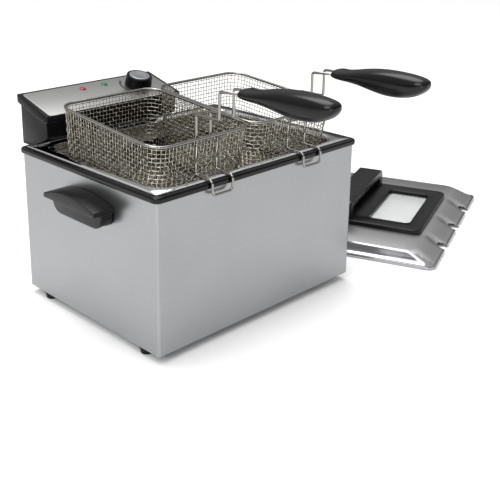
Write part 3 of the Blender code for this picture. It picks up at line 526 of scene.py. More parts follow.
VISOR_THICK, CROWN, POD_CORNER = 0.006, 0.010, 0.018
for side, label in ((-1, "left"), (1, "right")):
    low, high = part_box(f"carry_handle_{label}")
    half = (high.y - low.y) / 2
    reach = high.x - low.x
    shelf = high.z - VISOR_THICK - CROWN
    visor = box_mesh((0, -half, shelf), (reach, half, shelf + VISOR_THICK))
    across = [e for e in visor.edges if abs(e.verts[0].co.y - e.verts[1].co.y) > half]
    bmesh.ops.subdivide_edges(visor, edges=across, cuts=23, use_grid_fill=True)
    for corner in visor.verts:
        if corner.co.z > shelf + 0.003:
            corner.co.z += CROWN * (1 - (corner.co.y / half) ** 2)
    soften(visor, 0.0011, 3, angle=50)
    pod = box_mesh((0.0005, -half + 0.002, low.z), (0.019, half - 0.002, shelf + 0.004))
    bmesh.ops.bevel(
        pod, geom=[e for e in pod.edges if all(v.co.z < low.z + 0.001 for v in e.verts)
                   and abs(e.verts[0].co.x - e.verts[1].co.x) > 0.01],
        offset=POD_CORNER, affect="EDGES", segments=10, profile=0.5, material=-1,
    )
    soften(pod, 0.0016, 3, angle=50)
    pocket = box_mesh((0.0025, -half + 0.008, low.z - 0.02), (0.0165, half - 0.008, shelf + 0.0015))
    soften(pocket, 0.004, 4, angle=50)
    handle = combined(visor, ("UNION", pod), ("DIFFERENCE", pocket))
    if side < 0:
        bmesh.ops.scale(handle, verts=handle.verts, vec=(-1, 1, 1))
        bmesh.ops.reverse_faces(handle, faces=handle.faces)
    wall_x = high.x if side < 0 else low.x
    piece(f"moulded_carry_handle_{label}", handle, nylon, "casing",
          [f"carry_handle_{label}"], Matrix.Translation((wall_x, (low.y + high.y) / 2, 0)))
    dress(zinc, f"carry_screw_{label}_front", f"carry_screw_{label}_rear")

# ---- Heating element and what hangs with it -----------------------------------------------
# A tubular element folded into flat loops just over the tank's floor, its sheath blued dark
# by use, on a steel bracket over the rear rim, with the thermostat's bulb strapped beside it.


def bends(points, radius, steps=6):
    """A route with its corners rounded to the bend radius."""
    points = [Vector(p) for p in points]
    made = [points[0]]
    for before, corner, after in zip(points, points[1:], points[2:]):
        a = (before - corner).normalized()
        b = (after - corner).normalized()
        half_angle = a.angle(b) / 2
        cut = radius / math.tan(half_angle)
        centre = corner + (a + b).normalized() * (radius / math.sin(half_angle))
        start = (corner + a * cut - centre).normalized()
        end = (corner + b * cut - centre).normalized()
        made += [centre + start.slerp(end, i / steps) * radius for i in range(steps + 1)]
    return [*made, points[-1]]


def wires(routes, thickness, sides=3, closed=False):
    """Round wires along routes of points, as one bmesh."""
    line = bpy.data.curves.new("wires", "CURVE")
    line.dimensions = "3D"
    line.bevel_depth = thickness / 2
    line.bevel_resolution = sides
    line.use_fill_caps = not closed
    for route in routes:
        spline = line.splines.new("POLY")
        spline.points.add(len(route) - 1)
        spline.points.foreach_set("co", [x for spot in route for x in (*spot, 1.0)])
        spline.use_cyclic_u = closed
    drawn = bpy.data.objects.new("wires", line)
    bpy.context.scene.collection.objects.link(drawn)
    bpy.context.view_layer.update()
    data = bpy.data.meshes.new_from_object(
        drawn.evaluated_get(bpy.context.evaluated_depsgraph_get())
    )
    made = bmesh.new()
    made.from_mesh(data)
    bpy.data.objects.remove(drawn)
    bpy.data.curves.remove(line)
    bpy.data.meshes.remove(data)
    bmesh.ops.remove_doubles(made, verts=made.verts, dist=1e-6)
    return made


def mottled(made, patches_per_m, detail, *stops):
    """A base colour that wanders between two (noise level, tone) stops."""
    tree = made.node_tree
    noise = node(tree, "ShaderNodeTexNoise", {
        "Vector": coordinates(tree), "Scale": patches_per_m, "Detail": detail,
    })
    tint = node(tree, "ShaderNodeValToRGB", {"Fac": noise.outputs["Fac"]})
    for element, (position, tone) in zip(tint.color_ramp.elements, stops):
        element.position = position
        element.color = srgb(tone)
    tree.links.new(tint.outputs["Color"], tree.nodes["Principled BSDF"].inputs["Base Color"])


sheath = finish("blued_alloy_sheath", {
    "Base Color": srgb("5A5350"), "Metallic": 1.0, "Roughness": 0.42,
})
mottled(sheath, 70.0, 5.0, (0.35, "3B3433"), (0.65, "6F6660"))

low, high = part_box("heating_element")
RISERS = (-0.085, -0.045)
RISER_Y = 0.1165
ELEMENT_Z = low.z + 0.0035
CROSS_Y = 0.095
route = [(RISERS[0], RISER_Y, high.z), (RISERS[0], RISER_Y, ELEMENT_Z),
         (RISERS[0], CROSS_Y, ELEMENT_Z)]
for i in range(6):
    x = -0.135 + 0.054 * i
    ends = ((CROSS_Y, -0.095), (-0.095, 0.065), (0.065, -0.095), (-0.095, 0.065),
            (0.065, -0.095), (-0.095, CROSS_Y))[i]
    route += [(x, y, ELEMENT_Z) for y in ends]
route += [(RISERS[1], CROSS_Y, ELEMENT_Z), (RISERS[1], RISER_Y, ELEMENT_Z),
          (RISERS[1], RISER_Y, high.z)]
piece("folded_element", wires([bends(route, 0.010, 8)], 0.007, 4), sheath, "control_head",
      ["heating_element"], Matrix.Translation(HERE))
mill_steel = brushed("mill_stainless", "B4B4B4", 0.3, (40, 40, 700))
dress(mill_steel, "element_bracket", "element_strap_upper", "element_strap_lower")
dress(mirror_steel, "sensor_bulb", "capillary_tube")

# ---- Control head -------------------------------------------------------------------------
# A black satin ABS hood whose lip runs round a sloping, ground steel panel. It is moulded in
# one piece, closed from below by a cover, and hooks over the tank's rear edge.
abs_black = grain(
    finish("satin_abs", {
        "Base Color": srgb("070708"), "Roughness": 0.3, "Specular IOR Level": 0.13,
    }), 1.2, 0.03, 0.25, 0.05
)
steatite = grain(finish("steatite", {"Base Color": srgb("D9D5CC"), "Roughness": 0.6}), 2.0, 0.05, 0.4)
low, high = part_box("control_housing")
head_left, head_right = low.x - HERE.x, high.x - HERE.x
head_front, head_rear = low.y - HERE.y, high.y - HERE.y
head_base = low.z
PANEL_FRONT_Z = 0.273
PANEL_REAR_Z = 0.293
tilt = math.atan((PANEL_REAR_Z - PANEL_FRONT_Z) / (head_rear - head_front))
on_slope = (Matrix.Translation(HERE + Vector((0, head_front, PANEL_FRONT_Z)))
            @ Matrix.Rotation(tilt, 4, "X"))
LIP = 0.012
face_y, back_y = head_front + 0.006, head_rear - 0.004


def drawn_out(bm, faces, way):
    """Draws faces out along way into a closed solid."""
    grown = bmesh.ops.extrude_face_region(bm, geom=faces)["geom"]
    moved = [part for part in grown if isinstance(part, bmesh.types.BMVert)]
    bmesh.ops.translate(bm, verts=moved, vec=way)
    bmesh.ops.recalc_face_normals(bm, faces=bm.faces)


def extruded(profile, low_x, high_x):
    """A (depth, height) profile drawn out along X."""
    bm = bmesh.new()
    start = bm.faces.new([bm.verts.new((low_x, y, z)) for y, z in profile])
    drawn_out(bm, [start], (high_x - low_x, 0, 0))
    return bm


def slope_z(y, drop=0.0):
    return PANEL_FRONT_Z + (y - head_front) * math.tan(tilt) - drop


hood = extruded(
    [(back_y, head_base), (back_y, slope_z(back_y, 0.013)), (head_rear, slope_z(head_rear, 0.0105)),
     (head_rear, PANEL_REAR_Z), (head_front, PANEL_FRONT_Z), (head_front, PANEL_FRONT_Z - 0.0095),
     (face_y, slope_z(face_y, LIP)), (face_y, 0.2410), (0.1280, head_base)],
    head_left, head_right,
)
cuts = []
for outer, inner in ((head_left - 0.01, head_left + 0.003), (head_right - 0.003, head_right + 0.01)):
    cuts.append(("DIFFERENCE", extruded(
        [(head_front - 0.01, 0.2), (head_rear + 0.01, 0.2),
         (head_rear + 0.01, slope_z(head_rear + 0.01, LIP)),
         (head_front - 0.01, slope_z(head_front - 0.01, LIP))], outer, inner)))
hood = combined(hood, *cuts)
soften(hood, 0.0014, 3, angle=30)
hollow = extruded(
    [(face_y + 0.0028, 0.2), (back_y - 0.0028, 0.2), (back_y - 0.0028, slope_z(back_y, 0.0045)),
     (face_y + 0.0028, slope_z(face_y, 0.0045))],
    head_left + 0.0058, head_right - 0.0058,
)
panel_depth = (head_rear - head_front) / math.cos(tilt)
panel_middle = (head_left + 0.006 + head_right - 0.005) / 2
panel_size = (head_right - head_left - 0.011, panel_depth - 0.0055)
on_panel = on_slope @ Matrix.Translation((panel_middle, 0.0015 + panel_size[1] / 2, 0))


def plate(width, depth, radius, low, high, rounding=0.0, segments=8):
    """A flat plate with round corners and, if asked, a softened upper edge."""
    bm = bmesh.new()
    edges = outline(bm, width, depth, radius, low, segments=segments)
    base = bmesh.ops.holes_fill(bm, edges=edges, sides=0)["faces"]
    drawn_out(bm, base, (0, 0, high - low))
    if rounding:
        soften(bm, rounding, 3, lambda e: all(v.co.z > (low + high) / 2 for v in e.verts), 60)
    return bm


recess = plate(panel_size[0] + 0.001, panel_size[1] + 0.001, 0.0055, -0.0011, 0.004)
bmesh.ops.transform(recess, matrix=Matrix.Translation(-HERE) @ on_panel, verts=recess.verts)
hood = combined(hood, ("DIFFERENCE", hollow), ("DIFFERENCE", recess))
piece("moulded_hood", hood, abs_black, "control_head", ["control_housing"],
      Matrix.Translation(HERE))
dress(abs_black, "head_base_cover", "safety_switch")
dress(steatite, "thermostat_body", "terminal_block")
dress(zinc, "head_screw_left", "head_screw_right")

panel_steel = brushed("ground_panel", "9A9A98", 0.38, (14, 1500, 1500))
piece("ground_panel", plate(*panel_size, 0.005, -0.0008, 0.0, 0.0003), panel_steel,
      "control_head", ["control_panel"], on_panel)

# ---- Printed scale ------------------------------------------------------------------------
# The temperature scale, pad-printed in black: a curved wedge that runs out beside the knob, and
# a dot for off. It stands a few hundredths of a millimetre proud.
KNOB_SPOT = (0.002, 0.119)


def slope_point(x, y, height=0.0):
    """The point above the panel at plan position (x, y)."""
    return on_slope @ Vector((x, (y - head_front) / math.cos(tilt), height))


ink = finish("pad_print", {"Base Color": srgb("101012"), "Roughness": 0.5})
knob_stand = Matrix.Translation(slope_point(*KNOB_SPOT)) @ Matrix.Rotation(tilt, 4, "X")
scale_print = bmesh.new()
STEPS, INK_THICK, SCALE_RADIUS = 40, 0.00005, 0.0250
inner_line, outer_line = [], []
for i in range(STEPS + 1):
    a = math.radians(128 + 92 * i / STEPS)
    thick = 0.0040 - 0.0032 * i / STEPS
    for line, radius in ((inner_line, SCALE_RADIUS), (outer_line, SCALE_RADIUS + thick)):
        line.append(scale_print.verts.new((radius * math.cos(a), radius * math.sin(a), 0.0)))
sides = [scale_print.edges.new(pair) for line in (inner_line, outer_line)
         for pair in zip(line, line[1:])]
bmesh.ops.bridge_loops(scale_print, edges=sides)
bmesh.ops.create_circle(
    scale_print, cap_ends=True, segments=20, radius=0.0009,
    matrix=Matrix.Translation((-0.0165, 0.0245, 0.0)),
)
bmesh.ops.recalc_face_normals(scale_print, faces=scale_print.faces)
drawn_out(scale_print, list(scale_print.faces), (0, 0, INK_THICK))
piece("printed_scale", scale_print, ink, "control_head", (), knob_stand)

# ---- Lamps --------------------------------------------------------------------------------
# Two snap-in lenses of clear tinted polycarbonate, domed and highly polished, red for power
# and green for ready.
panel_out = (on_slope.to_3x3() @ Vector((0, 0, 1))).normalized()
LENS = ((0.0, 0.0021), (0.0015, 0.0020), (0.0029, 0.0016), (0.0040, 0.0010), (0.0046, 0.0005),
        (0.0049, 0.0003), (0.0049, 0.0001), (0.0029, 0.0001), (0.0029, -0.0100), (0.0, -0.0105))
for name, spot, tone in (("red", (-0.085, 0.137), "8A0911"), ("green", (-0.045, 0.139), "055F20")):
    tinted = finish(f"tinted_lens_{name}", {
        "Base Color": srgb(tone), "Roughness": 0.12, "Specular IOR Level": 0.35,
    })
    tree = tinted.node_tree
    facets = node(tree, "ShaderNodeTexVoronoi", {"Vector": coordinates(tree), "Scale": 900.0})
    relief(tinted, facets.outputs["Distance"], 0.2, 0.0002)
    piece(f"lamp_lens_{name}", spun(LENS, 32, slope_point(*spot), panel_out), tinted,
          "control_head", [f"indicator_{name}"])

# ---- Thermostat knob ----------------------------------------------------------------------
# A black ABS knob with a slightly drawn-in side, a groove round its top, and a spun
# aluminium disc let into it with one pressed index line. It turns on a brass stem.
KNOB = (
    (0.0, 0.0160), (0.0158, 0.0160), (0.0160, 0.0168), (0.0164, 0.0172), (0.0176, 0.0171),
    (0.0186, 0.0166), (0.0192, 0.0156), (0.0194, 0.0140), (0.0197, 0.0060), (0.0199, 0.0026),
    (0.0198, 0.0014), (0.0194, 0.0008), (0.0042, 0.0008), (0.0042, 0.0110), (0.0, 0.0112),
)
knob = spun(KNOB, 72)
for corner in knob.verts:
    around = math.hypot(corner.co.x, corner.co.y)
    if around > 0.0188 and 0.002 < corner.co.z < 0.0155:
        a = math.atan2(corner.co.y, corner.co.x)
        pull = 1.0 - 0.012 * (0.5 + 0.5 * math.cos(36 * a))
        corner.co.x *= pull
        corner.co.y *= pull
piece("moulded_knob", knob, abs_black, "knob", ["thermostat_knob"], knob_stand)
CAP = (
    (0.0, 0.0174), (0.0100, 0.0174), (0.0118, 0.0176), (0.0146, 0.0176), (0.0152, 0.0174),
    (0.0155, 0.0170), (0.0155, 0.0163), (0.0, 0.0163),
)
cap = spun(CAP, 64)
groove = box_mesh((-0.00045, 0.0065, 0.0171), (0.00045, 0.0142, 0.02))
disc_metal = finish("spun_aluminium", {
    "Base Color": srgb("8E8F92"), "Metallic": 1.0, "Roughness": 0.36,
})
tree = disc_metal.node_tree
centred = node(tree, "ShaderNodeMapping", {
    "Vector": node(tree, "ShaderNodeTexCoord").outputs["Object"],
    "Location": -knob_stand.translation,
})
rings = node(tree, "ShaderNodeVectorMath", {0: centred.outputs["Vector"]}, operation="LENGTH")
turned_lines = node(tree, "ShaderNodeTexNoise", {
    "W": rings.outputs["Value"], "Scale": 4000.0, "Detail": 2.0,
}, noise_dimensions="1D")
relief(disc_metal, turned_lines.outputs["Fac"], 0.3, 0.00004)
piece("spun_knob_disc", combined(cap, ("DIFFERENCE", groove)), disc_metal, "knob",
      ["knob_cap"], knob_stand)
brass = finish("turned_brass", {"Base Color": srgb("C9A35A"), "Metallic": 1.0, "Roughness": 0.28})
dress(brass, "thermostat_shaft")

# ---- Cord inlet, reset button, plunger ----------------------------------------------------
# Small turned mouldings at the back and below: a rubber grommet for the mains lead, the
# overheat cut-out's red reset button, and the safety switch's plunger.
low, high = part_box("cord_inlet")
INLET = (
    (0.0036, 0.0160), (0.0048, 0.0160), (0.0054, 0.0155), (0.0068, 0.0032), (0.0080, 0.0028),
    (0.0085, 0.0024), (0.0085, 0.0003), (0.0064, 0.0003), (0.0064, -0.0040), (0.0036, -0.0040),
)
piece("cord_grommet", spun(INLET, 36, ((low.x + high.x) / 2, HERE.y + back_y, (low.z + high.z) / 2),
                           (0, 1, 0), ring=True), rubber, "control_head",
      ["cord_inlet"])
red_abs = finish("gloss_red_abs", {"Base Color": srgb("B3201C"), "Roughness": 0.2})
low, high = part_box("reset_button")
BUTTON = (
    (0.0, 0.0022), (0.0020, 0.0024), (0.0032, 0.0027), (0.0037, 0.0024), (0.0038, 0.0018),
    (0.0038, -0.0028), (0.0055, -0.0028), (0.0055, -0.0040), (0.0, -0.0040),
)
piece("reset_cap", spun(BUTTON, 36, ((low.x + high.x) / 2, HERE.y + back_y, (low.z + high.z) / 2),
                        (0, 1, 0)), red_abs, "reset", ["reset_button"])
dress(red_abs, "switch_plunger")

# ---- Baskets ------------------------------------------------------------------------------
# Crimped steel wire cloth pressed into a bowl, nickel-chrome plated, with a thicker rim wire,
# a bent hook that hangs it on the tank, and a handle of two rods in a polished black grip.
plated = finish("nickel_chrome_wire", {
    "Base Color": srgb("8E8C88"), "Metallic": 1.0, "Roughness": 0.11,
})
cloth_wire = finish("plated_wire_cloth", {
    "Base Color": srgb("A8A398"), "Metallic": 1.0, "Roughness": 0.22,
})
mottled(cloth_wire, 180.0, 3.0, (0.35, "868072"), (0.6, "C2BEB2"))
gloss_grip = finish("polished_phenolic_grip", {
    "Base Color": srgb("060606"), "Roughness": 0.17, "Specular IOR Level": 0.3,
})
CLOTH = 0.0010
CRIMP = 0.00048
FRONT_CELLS, SIDE_CELLS, CORNER_CELLS = 21, 28, 6
WALL_INSET, FLOOR_INSET, FOOT_BEND = 0.007, 0.018, 0.011
POINTS_PER_CELL = 3
MOUTH_RADIUS, FLOOR_RADIUS = 0.022, 0.014
HOOK_HALF = 0.0175
HANDLE_HALF = 0.012
ROD = 0.0035
GRIP = (
    (0.0000, 0.0000, 0.0050, 0.0152), (0.0008, 0.0000, 0.0058, 0.0161),
    (0.0030, -0.0002, 0.0064, 0.0168), (0.0120, -0.0008, 0.0068, 0.0172),
    (0.0200, -0.0004, 0.0075, 0.0172), (0.0270, 0.0000, 0.0084, 0.0172),
    (0.0340, 0.0003, 0.0096, 0.0171), (0.0410, 0.0005, 0.0108, 0.0170),
    (0.0495, 0.0003, 0.0125, 0.0169), (0.0580, 0.0001, 0.0140, 0.0168),
    (0.0670, -0.0002, 0.0152, 0.0168), (0.0760, -0.0005, 0.0161, 0.0168),
    (0.0855, -0.0005, 0.0163, 0.0167), (0.0950, -0.0004, 0.0161, 0.0165),
    (0.1040, 0.0000, 0.0153, 0.0162), (0.1120, 0.0006, 0.0142, 0.0156),
    (0.1190, 0.0014, 0.0126, 0.0147), (0.1240, 0.0022, 0.0110, 0.0136),
    (0.1285, 0.0031, 0.0092, 0.0120), (0.1320, 0.0040, 0.0070, 0.0100),
    (0.1342, 0.0047, 0.0048, 0.0072), (0.1355, 0.0052, 0.0022, 0.0034),
)


def station(u, width, length, inset, radius):
    """The point and outward direction u cells round a rounded rectangle, from its front left."""
    side_x, side_y = width / 2 - inset - radius, length / 2 - inset - radius
    spots = (
        (FRONT_CELLS, (-side_x, -side_y), (side_x, -side_y), -90, False),
        (CORNER_CELLS, (side_x, -side_y), None, -90, True),
        (SIDE_CELLS, (side_x, -side_y), (side_x, side_y), 0, False),
        (CORNER_CELLS, (side_x, side_y), None, 0, True),
        (FRONT_CELLS, (side_x, side_y), (-side_x, side_y), 90, False),
        (CORNER_CELLS, (-side_x, side_y), None, 90, True),
        (SIDE_CELLS, (-side_x, side_y), (-side_x, -side_y), 180, False),
        (CORNER_CELLS, (-side_x, -side_y), None, 180, True),
    )
    for cells, start, end, angle, corner in spots:
        if u <= cells:
            break
        u -= cells
    if corner:
        angle += 90 * u / cells
        spot = Vector(start)
    else:
        spot = Vector(start).lerp(Vector(end), u / cells)
    out = Vector((math.cos(math.radians(angle)), math.sin(math.radians(angle))))
    return spot + out * radius, out


def bowl(u, s, width, length, drop):
    """The point and outward normal of the pressed bowl, u cells round and s down its side."""
    wall_drop = drop - FOOT_BEND - 0.001
    wall = math.hypot(WALL_INSET, wall_drop)
    if s < wall:
        share = s / wall
        inset, z = WALL_INSET * share, -0.001 - wall_drop * share
        bend = math.atan2(WALL_INSET, wall_drop)
    else:
        bend = min((s - wall) / FOOT_BEND, math.pi / 2)
        inset = FLOOR_INSET - FOOT_BEND * math.cos(bend)
        z = -0.001 - wall_drop - FOOT_BEND * math.sin(bend)
    radius = MOUTH_RADIUS + (FLOOR_RADIUS - MOUTH_RADIUS) * inset / FLOOR_INSET
    spot, out = station(u, width, length, inset, radius)
    normal = Vector((out.x * math.cos(bend), out.y * math.cos(bend), -math.sin(bend)))
    return Vector((spot.x, spot.y, z)), normal


def wire_cloth(width, length, drop, pitch=0.0056):
    """Every wire of one bowl: rings round it, wires down it, and the square weave of its floor."""
    around = 2 * (FRONT_CELLS + SIDE_CELLS) + 4 * CORNER_CELLS
    wall = math.hypot(WALL_INSET, drop - FOOT_BEND - 0.001)
    down = wall + FOOT_BEND * math.pi / 2
    rings, drops = [], []
    for j in range(int(down / pitch)):
        ring = []
        for k in range(POINTS_PER_CELL * around):
            u = k / POINTS_PER_CELL
            spot, normal = bowl(u, pitch * (j + 0.5), width, length, drop)
            ring.append(spot + normal * CRIMP * math.cos(math.pi * u) * (-1) ** j)
        rings.append(ring)
    steps = round(down / pitch * POINTS_PER_CELL)
    for i in range(around):
        line = []
        for k in range(steps + 1):
            s = down * k / steps
            spot, normal = bowl(i, s, width, length, drop)
            line.append(spot - normal * CRIMP * math.cos(math.pi * (s / pitch - 0.5)) * (-1) ** i)
        drops.append(line)
    flat = (width / 2 - FLOOR_INSET, length / 2 - FLOOR_INSET)
    for axis, cells in ((0, FRONT_CELLS), (1, SIDE_CELLS)):
        straight = flat[axis] - FLOOR_RADIUS
        step = 2 * straight / cells
        other_step = 2 * (flat[1 - axis] - FLOOR_RADIUS) / (SIDE_CELLS, FRONT_CELLS)[axis]
        extra = int((FLOOR_RADIUS - 0.002) / step)
        for i in range(-extra, cells + extra + 1):
            at = -straight + step * i
            past = max(0.0, abs(at) - straight)
            end = flat[1 - axis] - FLOOR_RADIUS + math.sqrt(FLOOR_RADIUS ** 2 - past ** 2)
            count = max(2, round(2 * POINTS_PER_CELL * end / other_step))
            line = []
            for k in range(count + 1):
                along = -end + 2 * end * k / count
                swing = math.cos(math.pi * (along + flat[1 - axis] - FLOOR_RADIUS) / other_step)
                z = -drop + CRIMP * swing * (-1) ** (i + axis)
                line.append(Vector((at, along, z) if axis == 0 else (along, at, z)))
            drops.append(line)
    made = wires(rings, CLOTH, 0, closed=True)
    rest = wires(drops, CLOTH, 0)
    data = bpy.data.meshes.new("rest")
    rest.to_mesh(data)
    rest.free()
    made.from_mesh(data)
    bpy.data.meshes.remove(data)
    return made


for number in (1, 2):
    basket, handle = f"basket_{number}", f"basket_{number}_handle"
    low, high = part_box(f"{basket}_rim")
    RIM_WIRE = 0.004
    middle_x = (low.x + high.x) / 2
    run, rise = high.y - low.y - RIM_WIRE, high.z - low.z - RIM_WIRE
    width, length = high.x - low.x - RIM_WIRE, math.hypot(run, rise)
    lean = math.atan2(rise, run)
    front = Vector((middle_x, low.y + RIM_WIRE / 2, low.z + RIM_WIRE / 2))
    stand = Matrix.Translation(front) @ Matrix.Rotation(lean, 4, "X")
    centred = stand @ Matrix.Translation((0, length / 2, 0))
    cloth = wire_cloth(width, length, 0.107)
    piece(f"{basket}_wire_cloth", cloth, cloth_wire, basket, [f"{basket}_mesh"],
          centred, smooth=180)
    around = 2 * (FRONT_CELLS + SIDE_CELLS) + 4 * CORNER_CELLS
    mouth = [(*station(k / 2, width, length, 0.0, MOUTH_RADIUS)[0], 0.0) for k in range(2 * around)]
    piece(f"{basket}_rim_wire", wires([mouth], RIM_WIRE, 4, closed=True), plated, basket,
          [f"{basket}_rim"], centred, smooth=180)

    hook_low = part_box(f"{basket}_hook")[0]
    over_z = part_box("oil_tank")[1].z + 0.0003 + ROD / 2
    top = stand @ Vector((0, -(0.0012 / 2 + 0.0003 + ROD / 2), -0.0050))
    down = stand.to_3x3() @ Vector((0, 0, -1))
    foot = top + down * ((top.z - over_z) / -down.z)
    hook = []
    for side in (-1, 1):
        aside = Vector((side * HOOK_HALF, 0, 0))
        ahead = Vector((middle_x, hook_low.y + ROD / 2, over_z))
        leg = [top + aside, foot + aside, ahead + aside,
               Vector((*ahead.xy, hook_low.z + ROD / 2)) + aside]
        hook += leg if side < 0 else leg[::-1]
    hanger = wires([bends(hook, 0.0060)], ROD, 4)
    for side in (-1, 1):
        bmesh.ops.create_icosphere(
            hanger, subdivisions=2, radius=0.0021,
            matrix=Matrix.Translation(top + Vector((side * HOOK_HALF, 0.0004, -0.0004))),
        )
    piece(f"{basket}_bent_hook", hanger, plated, basket, [f"{basket}_hook"],
          smooth=180)

    low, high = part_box(f"{basket}_sleeve")
    pivot = (low + high) / 2
    tube = ((0.00185, high.x - low.x), (0.0024, high.x - low.x), (0.0027, high.x - low.x - 0.0004),
            (0.0027, 0.0004), (0.0024, 0.0), (0.00185, 0.0))
    piece(f"{basket}_rolled_sleeve", spun(tube, 32, (low.x, pivot.y, pivot.z), (1, 0, 0), ring=True),
          plated, basket, [f"{basket}_sleeve"])

    grip_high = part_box(f"{basket}_grip")[1]
    GRIP_SLOPE = math.radians(4.5)
    along = Vector((0, -math.cos(GRIP_SLOPE), math.sin(GRIP_SLOPE)))
    start = Vector((middle_x, grip_high.y, 0.3361))
    crank = Vector((middle_x, HERE.y - 0.1575, 0.299))
    for label, side in (("left", -1), ("right", 1)):
        aside = Vector((side * HANDLE_HALF, 0, 0))
        leg = [pivot + Vector((side * 0.0030, 0, 0)), pivot + aside,
               Vector((middle_x, pivot.y, crank.z)) + aside, crank + aside,
               start + along * ((crank.y - start.y) / along.y) + aside,
               start + along * 0.022 + aside]
        piece(f"{basket}_handle_rod_{label}", wires([bends(leg, 0.0035)], ROD, 4), plated, handle,
              [f"{basket}_handle_wire_{label}"], smooth=180)
    grip = bmesh.new()
    loops = []
    for distance, rise, half_height, half_width in GRIP:
        ring = bmesh.ops.create_circle(grip, cap_ends=False, segments=28, radius=1.0)["verts"]
        for corner in ring:
            c, s = corner.co.x, corner.co.y
            corner.co = (
                start.x + half_width * math.copysign(abs(c) ** 0.85, c),
                start.y - distance,
                start.z + rise + half_height * math.copysign(abs(s) ** 0.85, s),
            )
        loops.append([e for v in ring for e in v.link_edges])
    for first, second in zip(loops, loops[1:]):
        bmesh.ops.bridge_loops(grip, edges=list(set(first) | set(second)))
    bmesh.ops.holes_fill(grip, edges=list(set(loops[0])), sides=0)
    bmesh.ops.holes_fill(grip, edges=list(set(loops[-1])), sides=0)
    bmesh.ops.recalc_face_normals(grip, faces=grip.faces)
    shown = piece(f"{basket}_polished_grip", grip, gloss_grip, handle,
                  [f"{basket}_grip"], smooth=60)
    rounder = shown.modifiers.new("rounder", "SUBSURF")
    rounder.levels = rounder.render_levels = 1

# ---- Lid ----------------------------------------------------------------------------------
# Pressed from thin stainless: a ground top that folds down to a rolled bead, polished coves at
# the sides, and three notches in its front that the basket handles pass through.
low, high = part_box("lid_shell")
LID_TURN = math.radians(21.1)
LID_SIZE = (0.380, 0.272)
LID_SHEET = 0.0008
lid_middle = Matrix.Translation(((low.x + high.x) / 2, (low.y + high.y) / 2, 0.0))
on_lid = lid_middle @ Matrix.Rotation(LID_TURN, 4, "Z")
WINDOW_MIDDLE, FRAME_MIDDLE = -0.0335, -0.0125


def lid_ring(side, front, rear, radius, z):
    return (LID_SIZE[0] - 2 * side, LID_SIZE[1] - front - rear, radius, z, (front - rear) / 2)


lid_rings = [
    lid_ring(0.0016, 0.0016, 0.0016, 0.0155, 0.0010),
    lid_ring(0.0007, 0.0007, 0.0007, 0.016, 0.0007),
    lid_ring(0.0004, 0.0004, 0.0004, 0.016, 0.0016),
    lid_ring(0.0004, 0.0004, 0.0004, 0.016, 0.0038),
    lid_ring(0.0010, 0.0010, 0.0010, 0.016, 0.0050),
    lid_ring(0.0030, 0.0026, 0.0030, 0.016, 0.0056),
    lid_ring(0.0052, 0.0045, 0.0052, 0.016, 0.0062),
    lid_ring(0.0080, 0.0100, 0.0080, 0.018, 0.0090),
    lid_ring(0.0108, 0.0180, 0.0108, 0.019, 0.0130),
    lid_ring(0.0136, 0.0260, 0.0136, 0.021, 0.0172),
    lid_ring(0.0160, 0.0340, 0.0160, 0.022, 0.0205),
    lid_ring(0.0170, 0.0355, 0.0170, 0.022, 0.0208),
    lid_ring(0.0600, 0.0480, 0.0450, 0.020, 0.0225),
]
shell = stacked(lid_rings, floor=True, segments=8)
NOTCH_HALF, NOTCH_DEEP = 0.011, 0.016
notches = [-LID_SIZE[0] / 2 + share * LID_SIZE[0] for share in (0.25, 0.50, 0.75)]
for centre in notches:
    for offset in range(-20, 21, 4):
        everything = list(shell.verts) + list(shell.edges) + list(shell.faces)
        bmesh.ops.bisect_plane(
            shell, geom=everything, dist=1e-6, plane_co=(centre + offset / 1000, 0, 0),
            plane_no=(1, 0, 0),
        )


def ease(t):
    t = min(max(t, 0.0), 1.0)
    return t * t * (3 - 2 * t)


for corner in shell.verts:
    if corner.co.z < 0.0055 or corner.co.y > 0:
        continue
    near = min(abs(corner.co.x - centre) for centre in notches)
    back = corner.co.y + LID_SIZE[1] / 2
    corner.co.z -= 0.0042 * (1 - ease(near / 0.018)) * (1 - ease((back - 0.012) / 0.030)) \
        * ease(back / 0.012)
bmesh.ops.recalc_face_normals(shell, faces=shell.faces)
bmesh.ops.solidify(shell, geom=list(shell.faces), thickness=LID_SHEET)
cuts = []
for centre in notches:
    tongue = plate(2 * NOTCH_HALF, NOTCH_DEEP + 0.02, 0.007, -0.002, 0.04)
    bmesh.ops.translate(
        tongue, verts=tongue.verts,
        vec=(centre, -LID_SIZE[1] / 2 + (NOTCH_DEEP - 0.02) / 2, 0),
    )
    cuts.append(("DIFFERENCE", tongue))
sight = plate(0.160, 0.073, 0.010, 0.010, 0.040)
bmesh.ops.translate(sight, verts=sight.verts, vec=(0, WINDOW_MIDDLE, 0))
cuts.append(("DIFFERENCE", sight))
shell = combined(shell, *cuts)
lid_top = brushed("ground_lid_top", "C0C0C1", 0.33, (14, 1300, 1300), LID_TURN)
lid_shown = piece("pressed_lid", shell, lid_top, "lid", ["lid_shell"],
                  on_lid, smooth=32)
polished_lid = finish("polished_cove", {
    "Base Color": srgb("A2A2A4"), "Metallic": 1.0, "Roughness": 0.14,
})
lid_shown.data.materials.append(polished_lid)
flat = on_lid.inverted()
for side in lid_shown.data.polygons:
    spot = flat @ side.center
    outward = flat.to_3x3() @ side.normal
    cove = abs(spot.x) > LID_SIZE[0] / 2 - 0.0175 or spot.y > LID_SIZE[1] / 2 - 0.0175
    bead = spot.z < 0.0062
    if outward.z > -0.2 and (bead or (cove and outward.z < 0.97)):
        side.material_index = 1

